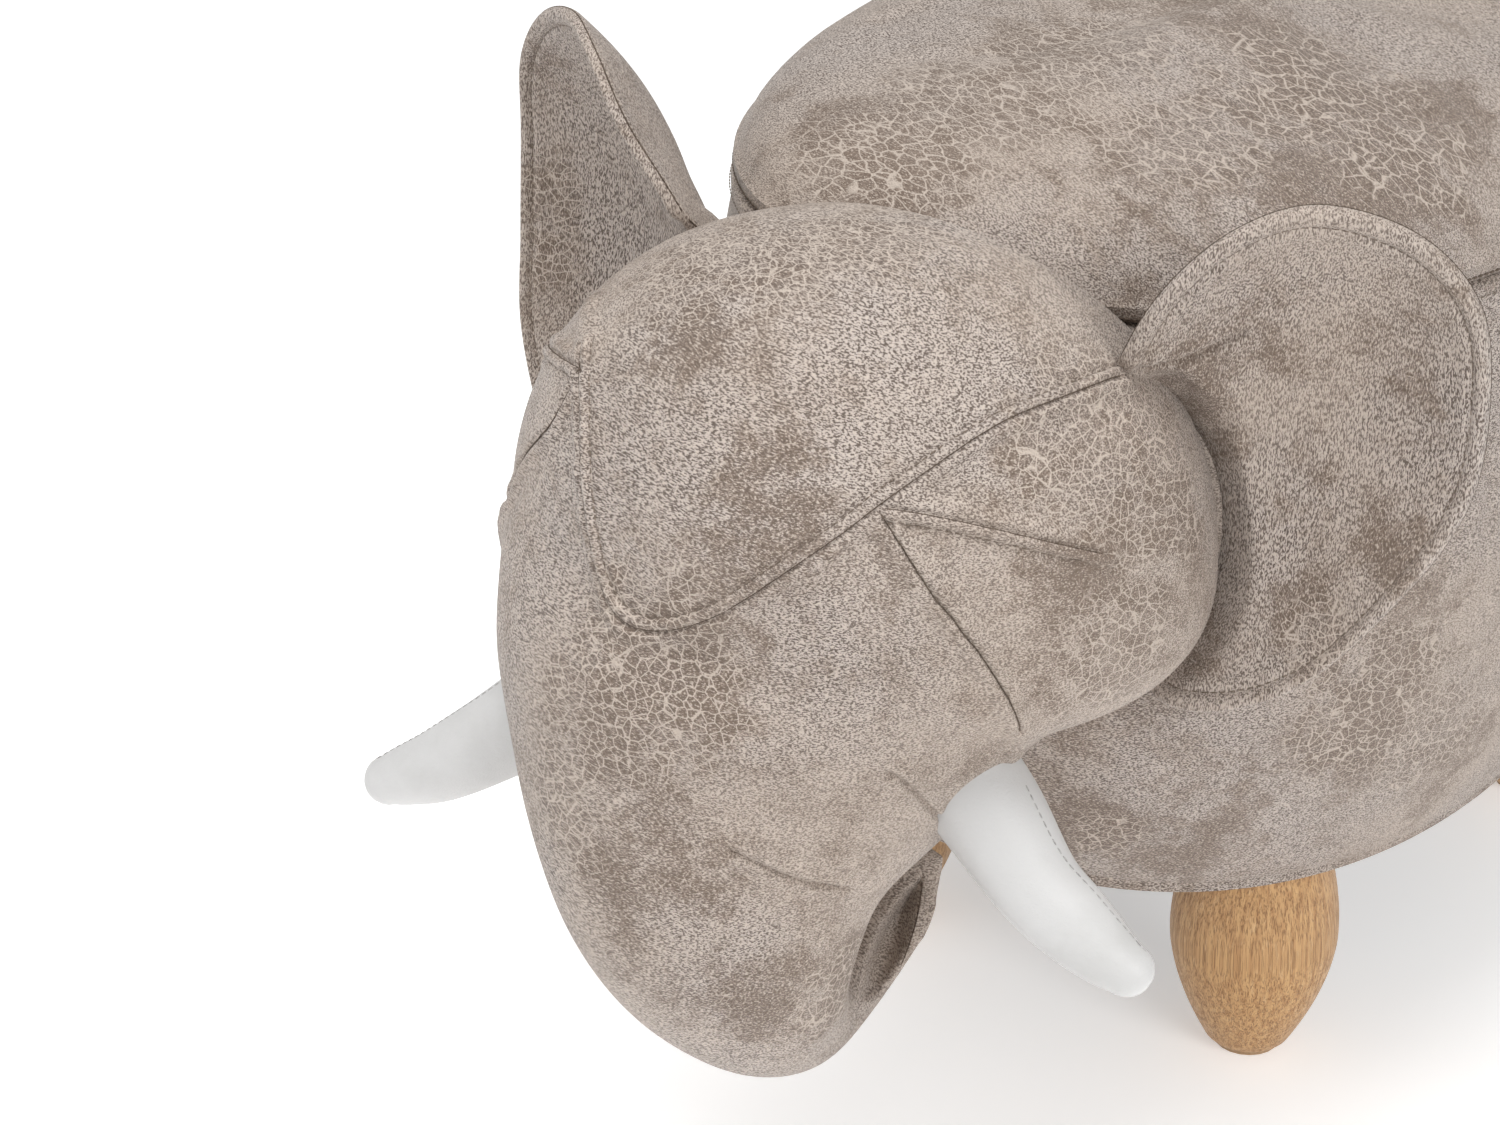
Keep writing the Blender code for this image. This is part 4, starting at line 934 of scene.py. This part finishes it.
def hollow(piece, outline, depth, blend):
    """Press what is seen of a skin inside an outline of pixels away from the camera, with a blend in pixels."""
    tree = tree_of(piece)
    points = points_of(piece)
    away = points - np.array(CAMERA_EYE)
    far = -away @ np.array(camera_back)
    seen = np.column_stack((PHOTO_WIDTH / 2 + FOCAL_PIXELS * (away @ np.array(camera_right)) / far,
                            PHOTO_HEIGHT / 2 - FOCAL_PIXELS * (away @ np.array(camera_up)) / far))
    inside = np.zeros(len(points), bool)
    margin = np.full(len(points), blend)
    corners = np.array(outline, float)
    for start, end in zip(corners, np.roll(corners, -1, axis=0)):
        crossed = (start[1] > seen[:, 1]) != (end[1] > seen[:, 1])
        slope = (end[0] - start[0]) / (end[1] - start[1] if end[1] != start[1] else TINY)
        inside ^= crossed & (seen[:, 0] < start[0] + slope * (seen[:, 1] - start[1]))
        along = end - start
        share = np.clip((seen - start) @ along / (along @ along), 0, 1)
        margin = np.minimum(margin, np.linalg.norm(seen - start - share[:, None] * along, axis=1))
    for i in np.flatnonzero(inside):
        spot, _, _, reach = tree.ray_cast(CAMERA_EYE, Vector(away[i]).normalized())
        inside[i] = spot is not None and np.linalg.norm(away[i]) - reach < depth / 2
    ease = margin / blend
    press = np.where(inside, depth * ease * ease * (3 - 2 * ease), 0.0)
    set_points(piece, points - press[:, None] * np.array(camera_back))


def divide(piece):
    """One smooth subdivision."""
    make_active(piece)
    dividing = piece.modifiers.new("divide", "SUBSURF")
    dividing.levels = 1
    dividing.render_levels = 1
    bpy.ops.object.modifier_apply(modifier=dividing.name)


def rest_on_body(points, gap):
    """Press points that reach into the body or the lid forward, to the outline of either."""
    moved = points.copy()
    for i, (x, y, z) in enumerate(points):
        side, end = drawn_in(z)
        room = LID_CLEARANCE if z > seam_height - LID_CLEARANCE else gap
        half_width = BODY_HALF_WIDTH - side + room
        half_length = BODY_HALF_LENGTH - end + room
        share = abs(x) / half_width
        if share < 1 and z > BODY_BOTTOM:
            front = BODY_Y - half_length * (1 - share ** FRONT_POWER) ** (1 / FRONT_POWER)
            moved[i, 1] = min(y, front)
    return moved


def head_seams(tree):
    """The five seams of the head on a skin, each with the normals along it: forehead, darts and cheeks."""
    start = photo_points(tree, [RIGHT_DART_START])
    dart = photo_points(tree, DART_SEAM)
    cheek = photo_points(tree, CHEEK_SEAM)
    right_dart_points = start + mirrored(dart)[1:]
    right_cheek_points = start + mirrored(cheek)[2:]
    return [laid_line(tree, points) for points in (photo_points(tree, FOREHEAD_SEAM), dart, cheek,
                                                   right_dart_points, right_cheek_points)]


head = one_skin("head_skin", [head_skin("head_form"), trunk_skin("trunk_form")], SKIN_VOXEL, SKIN_SMOOTHING)
seams = [line for line, _ in head_seams(tree_of(head))]
stuff(head, distance_to(points_of(head), seams) < SKIN_VOXEL, HEAD_CAP, HEAD_PRESSURE)
divide(head)
head_tree = tree_of(head)
sewn = head_seams(head_tree)
seams = [line for line, _ in sewn]
forehead, left_dart, left_cheek, right_dart, right_cheek = sewn
pleats = [laid_line(head_tree, photo_points(head_tree, pixels))[0]
          for pixels in (TUSK_PLEAT, TUSK_PLEAT_SIDE, TRUNK_CREASE)]
topstitches = [("forehead_topstitch", *shifted_line(head_tree, *forehead, TOPSTITCH_INSET)),
               ("dart_topstitch_left", *shifted_line(head_tree, *left_dart, -TOPSTITCH_INSET)),
               ("dart_topstitch_right", *shifted_line(head_tree, *right_dart, TOPSTITCH_INSET))]
tip_edge, _ = laid_line(head_tree, photo_points(head_tree, TIP_HOLLOW))
rows = [line for _, line, _ in topstitches]
for reach in SEAM_REFINE:
    refine(head, seams + pleats + rows + [tip_edge], reach)
sew(head, seams, SEAM_WIDTH, SEAM_DEPTH)
sew(head, rows, SEAM_WIDTH, TOPSTITCH_DEPTH)
sew(head, pleats, SEAM_WIDTH, PLEAT_DEPTH)
hollow(head, TIP_HOLLOW, TIP_HOLLOW_DEPTH, TIP_HOLLOW_BLEND)
set_points(head, rest_on_body(points_of(head), BOARD_GAP))
mark(head, "rub_and_shade", HEAD_RUBS_AND_SHADE)
mark(head, "net", HEAD_NETS)
head_hide = hide("head_hide", (2.6, 1.1, 0.3), -0.06)
finish_piece(head, head_hide, "hide", "pouf_body", "head", "trunk", smooth=SKIN_SMOOTH_ANGLE)
head_tree = tree_of(head)
tip_seam = laid_line(head_tree, photo_points(head_tree, TIP_SEAM))
for name, seam in (("forehead_seam", forehead), ("dart_seam_left", left_dart), ("trunk_tip_seam", tip_seam),
                   ("cheek_seam_left", left_cheek), ("dart_seam_right", right_dart),
                   ("cheek_seam_right", right_cheek)):
    stitch_row(name, *shifted_line(head_tree, *seam, 0.0), SEAM_STITCH, dark_thread)
for name, *row in topstitches:
    stitch_row(name, *shifted_line(head_tree, *row, 0.0), TOPSTITCH, taupe_thread)

# Tusks: white smooth leather cloth, stuffed hard and sewn along the outer edge and across the blunt tip.
# They are set into the seams between the cheeks and the trunk, by hand, so each droops its own way.
# Tusk stations: out from, ahead of and above the head's middle, and radius.
TUSK_STATIONS = {
    "left": (
        (0.062, 0.046, -0.0400, 0.0195),
        (0.085, 0.050, -0.0580, 0.0188),
        (0.108, 0.056, -0.0755, 0.0156),
        (0.125, 0.058, -0.0845, 0.0142),
        (0.138, 0.0585, -0.0910, 0.0118),
        (0.146, 0.0575, -0.0950, 0.0095),
    ),
    "right": (
        (0.062, 0.056, -0.0400, 0.0195),
        (0.086, 0.070, -0.0610, 0.0188),
        (0.108, 0.082, -0.0790, 0.0162),
        (0.128, 0.088, -0.0940, 0.0140),
        (0.143, 0.091, -0.1025, 0.0115),
        (0.151, 0.093, -0.1065, 0.0095),
    ),
}
TUSK_AROUND = 48
# Share of the way round a tusk at which its seam runs.
TUSK_SEAM = {"left": 0.21, "right": 0.25}
TUSK_STEPS = 8
TUSK_TIP_STEPS = 7
TUSK_STITCH = (0.0034, 0.0027, 0.00038)
IVORY_WHITE = (0.60, 0.595, 0.59, 1)
IVORY_GREY = (0.52, 0.515, 0.505, 1)

ivory, ivory_shader, place = new_material("white_leather_cloth", 0.42)
ivory_grain = place.moved(scale=(1.0, 1.0, 1.4)).noise(900.0, 3.0, 0.6)
ivory_tone = place.noise(22.0, 4.0, 0.6)
paint(ivory_shader, "Base Color", ivory_tone.step(0.35, 0.75).mix(IVORY_WHITE, IVORY_GREY))
paint(ivory_shader, "Roughness", ivory_grain * 0.2 + 0.34)
raise_bump(ivory_shader, ivory_grain, 0.00022)
white_thread = sewing_thread("white_thread", 0.6, (0.30, 0.29, 0.28, 1), (0.44, 0.43, 0.42, 1))

tip_turns = [pi / 2 * i / TUSK_TIP_STEPS for i in range(1, TUSK_TIP_STEPS)]
tusk_turn = np.arange(TUSK_AROUND) * tau / TUSK_AROUND
for side, way in SIDES.items():
    path = smooth_path(TUSK_STATIONS[side], TUSK_STEPS)
    rings = []
    ends = [(path[-1], sin(t), cos(t)) for t in tip_turns]
    for i, (station, beyond, shrink) in enumerate([(p, 0.0, 1.0) for p in path] + ends):
        k = min(i, len(path) - 1)
        along = Vector(path[min(k + 1, len(path) - 1)][:3] - path[max(k - 1, 0)][:3]).normalized()
        across = along.cross(Vector((0.0, 0.0, 1.0))).normalized()
        lift = across.cross(along)
        middle = Vector(station[:3]) + along * station[3] * beyond
        ring = [middle + (across * cos(t) + lift * sin(t)) * station[3] * shrink for t in tusk_turn]
        rings.append(np.array([(way * p.x, head_middle.y - p.y, head_middle.z + p.z) for p in ring]))
    tusk = skin_rings(f"tusk_{side}_skin", rings)
    tusk_tree = tree_of(tusk)
    finish_piece(tusk, ivory, "ivory", "pouf_body", f"tusk_{side}")
    edge = [ring[int(TUSK_AROUND * TUSK_SEAM[side])] for ring in rings[TUSK_STEPS:-2]]
    stitch_row(f"tusk_{side}_stitch", *laid_line(tusk_tree, edge), TUSK_STITCH, white_thread, "ivory")

# Ears: two ovals of leather cloth over thin wadding, sewn together inside out and topstitched inside the rim.
# A tuck at the root cups each one forward, and the root is sewn into the seam behind the cheek.
EAR_ROOT_IN = 0.031
EAR_BACK = 0.031
EAR_TURN = {"left": radians(30.0), "right": radians(23.0)}
EAR_SPREAD = {"left": 1.03, "right": 0.952}
EAR_RISE = {"left": 0.052, "right": 0.062}
EAR_MIDDLE_OUT = 0.046
EAR_SINK = 0.016
EAR_THICK = 0.012
EAR_EDGE = 0.0070
EAR_RIM_POWER = 4.0
EAR_CUP_POWER = 2.2
# Rim stations: out from the root, above the ear's middle and forward.
EAR_RIM = {
    "left": (
        (-0.014, 0.036, 0.012),
        (-0.001, 0.065, 0.017),
        (0.020, 0.086, 0.016),
        (0.045, 0.094, 0.013),
        (0.075, 0.085, 0.012),
        (0.095, 0.064, 0.013),
        (0.101, 0.035, 0.014),
        (0.098, -0.007, 0.015),
        (0.078, -0.045, 0.015),
        (0.047, -0.082, 0.013),
        (0.014, -0.095, 0.008),
        (-0.006, -0.083, 0.002),
        (-0.017, -0.045, -0.004),
        (-0.020, 0.000, 0.000),
    ),
    "right": (
        (-0.014, 0.036, 0.014),
        (0.008, 0.065, 0.024),
        (0.029, 0.086, 0.025),
        (0.052, 0.094, 0.022),
        (0.080, 0.085, 0.020),
        (0.099, 0.064, 0.018),
        (0.104, 0.035, 0.016),
        (0.103, -0.007, 0.018),
        (0.092, -0.045, 0.024),
        (0.064, -0.082, 0.026),
        (0.026, -0.098, 0.018),
        (-0.004, -0.086, 0.006),
        (-0.017, -0.045, 0.000),
        (-0.020, 0.000, 0.002),
    ),
}
EAR_TUCK = ((-0.014, 0.034), (0.002, 0.034), (0.026, 0.044))
EAR_ROUNDS = 40
EAR_RIM_STEPS = 10
EAR_STITCH_INSET = 0.0075
EAR_STITCH_SINK = -0.0001
EAR_STITCH_WIDTH = 0.0010
EAR_STITCH_DEPTH = 0.0008
EAR_TUCK_WIDTH = 0.0014
EAR_TUCK_DEPTH = 0.0024
EAR_REFINE = 0.004
EAR_RIM_STITCH = (0.0024, 0.0030, 0.0004)
EAR_CENTRE = 0.02
EAR_EDGE_STEPS = 6
EAR_EDGE_BOW = 0.4
EAR_PROBE = 0.1
EAR_GRAIN = (1.1, 1.1, 0.36)
# How worn each ear's cloth is. The right ear's low value also paints it paler: painted light in place of what
# the weak left lamp would give its face.
EAR_WEAR_AND_PAINTED_LIGHT = {"left": -0.08, "right": -0.26}
EAR_TUCK_DROP = 0.005
EAR_GAP = 0.012
EAR_GAP_BEND = 1.15
EAR_GAP_LIMIT = 0.022
# Rubbed patches on the ears. The left ear's patches down its root beside the cheek are painted shade where it
# runs back behind the cheek; the others are rubbed wear.
EAR_RUBS_AND_SHADE = {"left": ((1230, 350, 0.022), (1225, 430, 0.020), (1235, 500, 0.016), (1400, 320, 0.024),
                     (1300, 460, 0.014), (1395, 545, 0.014), (1420, 400, 0.014), (1290, 610, 0.014),
                     (1236, 545, 0.014), (1226, 600, 0.014), (1195, 655, 0.014)),
            "right": ((545, 60, 0.016), (560, 170, 0.018), (540, 250, 0.014))}
EAR_NETS = {"left": ((1330, 650, 0.014),), "right": ((550, 190, 0.013), (545, 260, 0.010))}


def closed_path(stations, steps):
    """Points of a closed curve that passes through every station."""
    known = list(stations[-2:]) + list(stations) + list(stations[:2])
    return smooth_path(known, steps)[2 * steps:-2 * steps - 1]


def ear_ring(side, way, share, front):
    """A ring of the ear's front or back at a share of the way from its middle to its rim."""
    out_way = (cos(EAR_TURN[side]), sin(EAR_TURN[side]))
    face_way = (sin(EAR_TURN[side]), -cos(EAR_TURN[side]))
    rim = closed_path(EAR_RIM[side], EAR_RIM_STEPS)
    u = (EAR_MIDDLE_OUT + (rim[:, 0] - EAR_MIDDLE_OUT) * share) * EAR_SPREAD[side]
    half = EAR_EDGE / 2 + (EAR_THICK - EAR_EDGE) / 2 * (1 - share ** EAR_RIM_POWER)
    depth = (rim[:, 2] + EAR_SINK) * share ** EAR_CUP_POWER - EAR_SINK + (half if front else -half)
    x = head_half_width - EAR_ROOT_IN + out_way[0] * u + face_way[0] * depth
    y = head_middle.y + EAR_BACK + out_way[1] * u + face_way[1] * depth
    return np.column_stack((way * x, y, head_middle.z + EAR_RISE[side] + rim[:, 1] * share))


def behind_cheek(side, way, ring):
    """Bend the points of a ring near the head backward, so that the cheek stands in front of them."""
    face = np.array((way * sin(EAR_TURN[side]), -cos(EAR_TURN[side]), 0.0))
    gaps = []
    for spot in ring:
        near, normal, _, distance = head_tree.find_nearest(Vector(spot))
        gaps.append(distance if (Vector(spot) - near).dot(normal) > 0 else -distance)
    out = np.abs(ring[:, 0]) - (head_half_width - EAR_ROOT_IN)
    tuck = head_middle.z + EAR_RISE[side] + np.interp(out, *zip(*EAR_TUCK))
    below = np.clip((tuck - ring[:, 2]) / EAR_TUCK_DROP, 0.0, 1.0)
    bend = np.clip(EAR_GAP - np.array(gaps), 0.0, EAR_GAP_LIMIT) * EAR_GAP_BEND
    return ring - face * (bend * below)[:, None]


def ear_front_spot(tree, side, way, u, v):
    """The point of an ear's front over a place in its plane."""
    face = Vector((way * sin(EAR_TURN[side]), -cos(EAR_TURN[side]), 0.0))
    spot = Vector((way * (head_half_width - EAR_ROOT_IN + cos(EAR_TURN[side]) * u),
                   head_middle.y + EAR_BACK + sin(EAR_TURN[side]) * u, head_middle.z + EAR_RISE[side] + v))
    return tree.ray_cast(spot + face * EAR_PROBE, -face)[0]


for side, way in SIDES.items():
    shares = np.linspace(EAR_CENTRE, 1.0, EAR_ROUNDS)
    rings = [ear_ring(side, way, share, True) for share in shares]
    front_rim, back_rim = ear_ring(side, way, 1.0, True), ear_ring(side, way, 1.0, False)
    for k in range(1, EAR_EDGE_STEPS):
        bow = sin(pi * k / EAR_EDGE_STEPS) * EAR_EDGE * EAR_EDGE_BOW
        middle = front_rim + (back_rim - front_rim) * k / EAR_EDGE_STEPS
        rings.append(middle + unit(middle - middle.mean(axis=0)) * bow)
    rings += [ear_ring(side, way, share, False) for share in shares[::-1]]
    rings = [behind_cheek(side, way, ring) for ring in rings]
    ear = skin_rings(f"ear_{side}_skin", rings)
    ear_tree = tree_of(ear)
    inner = front_rim - unit(front_rim - front_rim.mean(axis=0)) * EAR_STITCH_INSET
    line, normals = laid_line(ear_tree, np.vstack((inner, inner[:1])))
    tuck, _ = laid_line(ear_tree, [ear_front_spot(ear_tree, side, way, u, v) for u, v in EAR_TUCK])
    divide(ear)
    refine(ear, [tuck, line], EAR_REFINE)
    sew(ear, [line], EAR_STITCH_WIDTH, EAR_STITCH_DEPTH)
    sew(ear, [tuck], EAR_TUCK_WIDTH, EAR_TUCK_DEPTH)
    mark(ear, "rub_and_shade", EAR_RUBS_AND_SHADE[side])
    mark(ear, "net", EAR_NETS[side])
    ear_hide = hide(f"ear_{side}_hide", (4.1 * way, 2.4, 1.2), EAR_WEAR_AND_PAINTED_LIGHT[side], EAR_GRAIN)
    finish_piece(ear, ear_hide, "hide", "pouf_body", f"ear_{side}", smooth=SKIN_SMOOTH_ANGLE)
    ear_tree = tree_of(ear)
    line, normals = shifted_line(ear_tree, line, normals, 0.0)
    stitch_row(f"ear_{side}_topstitch", line, normals, TOPSTITCH, taupe_thread, lift=EAR_STITCH_SINK)
    edge = rings[EAR_ROUNDS + EAR_EDGE_STEPS // 2 - 1]
    edge_line = laid_line(ear_tree, np.vstack((edge, edge[:1])))
    stitch_row(f"ear_{side}_rim_seam", *edge_line, EAR_RIM_STITCH, dark_thread)

# Tail: a narrow tube of leather cloth sewn to the rump, with a tassel of cut strips at its end.
# It hangs free and a little away from the body.
TAIL_POINTS = 20
TAIL_AROUND = 24
TAIL_ROOT_RADIUS = 0.0110
TAIL_END_RADIUS = 0.0065
TAIL_GAP = 0.0066
TAIL_SWING = 0.010
# Shares of the way down the tassel, with its size there.
TUFT_SIZES = ((0.0, 0.45), (0.10, 0.62), (0.25, 0.82), (0.55, 1.0), (0.80, 0.86), (1.0, 0.5))
TUFT_CORE = 0.84
TUFT_STRIPS = 14
TUFT_STRIP_WIDTH = 0.0062
TUFT_STRIP_THICK = 0.0009
TUFT_SHORT_STRIP = 0.93
TUFT_STRIP_OUTLINE = ((-1, 0), (-0.9, -1), (0.9, -1), (1, 0), (0.5, 0.8), (-0.5, 0.8))

tail_low, tail_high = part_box("tail")
tuft_low, tuft_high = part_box("tail_tuft")
tuft_middle = (tuft_low + tuft_high) / 2
tuft_half = (tuft_high.x - tuft_low.x) / 2
turn = np.arange(TAIL_AROUND) * tau / TAIL_AROUND


def round_ring(x, y, z, radius):
    """A level ring of the tail or of the tassel's core."""
    return np.column_stack((x + radius * np.cos(turn), y + radius * np.sin(turn), np.full(TAIL_AROUND, z)))


def tuft_spot(share):
    """Radius and height of the tassel at a share of its way down."""
    size = np.interp(share, *zip(*TUFT_SIZES))
    return tuft_half * size, tuft_high.z - (tuft_high.z - tuft_low.z) * share


rings = []
for share in np.arange(TAIL_POINTS + 1) / TAIL_POINTS:
    z = tail_high.z - (tail_high.z - tail_low.z) * share
    rear = BODY_Y + BODY_HALF_LENGTH - drawn_in(z)[1]
    y = rear + TAIL_GAP + TAIL_SWING * sin(share * pi / 2)
    rings.append(round_ring(0.0, y, z, TAIL_ROOT_RADIUS + (TAIL_END_RADIUS - TAIL_ROOT_RADIUS) * share))
tail = skin_rings("tail_skin", rings)
finish_piece(tail, hide("tail_hide", (5.0, 1.0, 2.0)), "hide", "pouf_body", "tail")
rings = []
for share in np.linspace(0.0, 1.0, 14):
    radius, z = tuft_spot(share)
    rings.append(round_ring(tuft_middle.x, tuft_middle.y, z, radius * TUFT_CORE))
tassel = [skin_rings("tail_tuft_skin", rings)]
for k in range(TUFT_STRIPS):
    way = tau * k / TUFT_STRIPS
    out = np.array((cos(way), sin(way), 0.0))
    across = np.array((-sin(way), cos(way), 0.0))
    rings = []
    for share in np.linspace(0.0, 1.0 if k % 2 else TUFT_SHORT_STRIP, 12):
        radius, z = tuft_spot(share)
        middle = np.array((tuft_middle.x, tuft_middle.y, z)) + out * (radius - TUFT_STRIP_THICK)
        half = TUFT_STRIP_WIDTH / 2 * (0.6 + 0.4 * sin(pi * share))
        rings.append(np.array([middle + across * half * a + out * TUFT_STRIP_THICK * b
                               for a, b in TUFT_STRIP_OUTLINE]))
    tassel.append(skin_rings(f"tuft_strip_{k}", rings))
tuft = joined(tassel)
finish_piece(tuft, hide("tuft_hide", (6.0, 3.0, 2.0), worn_level=0.1), "hide", "pouf_body", "tail_tuft")

# Studio: a wide pale floor that glows a little and a bright room, so that the picture's ground is white.
# A large soft light hangs overhead, a second stands on the camera's right and a weak one on its left.
FLOOR_SIZE = 14.0
FLOOR_GLOW = 0.40
ROOM_STRENGTH = 0.41
WHITE = (1.0, 1.0, 1.0, 1)
FLOOR_WHITE = (0.92, 0.92, 0.92, 1)
LIGHTS = (
    ("overhead", (-0.2, -0.6, 2.2), (0.0, 0.0, 0.2), 1.6, 35.0),
    ("right_front", (2.0, -0.9, 1.1), (0.1, -0.1, 0.2), 1.2, 21.0),
    ("left_front", (-1.4, -1.9, 1.5), (0.0, -0.1, 0.25), 1.4, 4.5),
)

bpy.context.scene.view_settings.view_transform = "Standard"
bpy.ops.object.select_all(action="DESELECT")
bpy.ops.mesh.primitive_plane_add(size=FLOOR_SIZE)
floor = bpy.context.object
floor.name = "studio_floor"
floor_material, floor_shader, _ = new_material("pale_floor", 0.9)
floor_shader.inputs["Base Color"].default_value = FLOOR_WHITE
floor_shader.inputs["Emission Color"].default_value = WHITE
floor_shader.inputs["Emission Strength"].default_value = FLOOR_GLOW
floor.data.materials.append(floor_material)
floor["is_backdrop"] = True

world = bpy.data.worlds.new("bright_room")
world.use_nodes = True
background = world.node_tree.nodes["Background"]
background.inputs["Color"].default_value = WHITE
background.inputs["Strength"].default_value = ROOM_STRENGTH
bpy.context.scene.world = world
for name, spot, aim, size, power in LIGHTS:
    bpy.ops.object.light_add(type="AREA", location=spot)
    light = bpy.context.object
    light.name = name
    light.data.shape = "DISK"
    light.data.size = size
    light.data.energy = power
    light.rotation_euler = (Vector(aim) - Vector(spot)).to_track_quat("-Z", "Y").to_euler()

low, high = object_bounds()
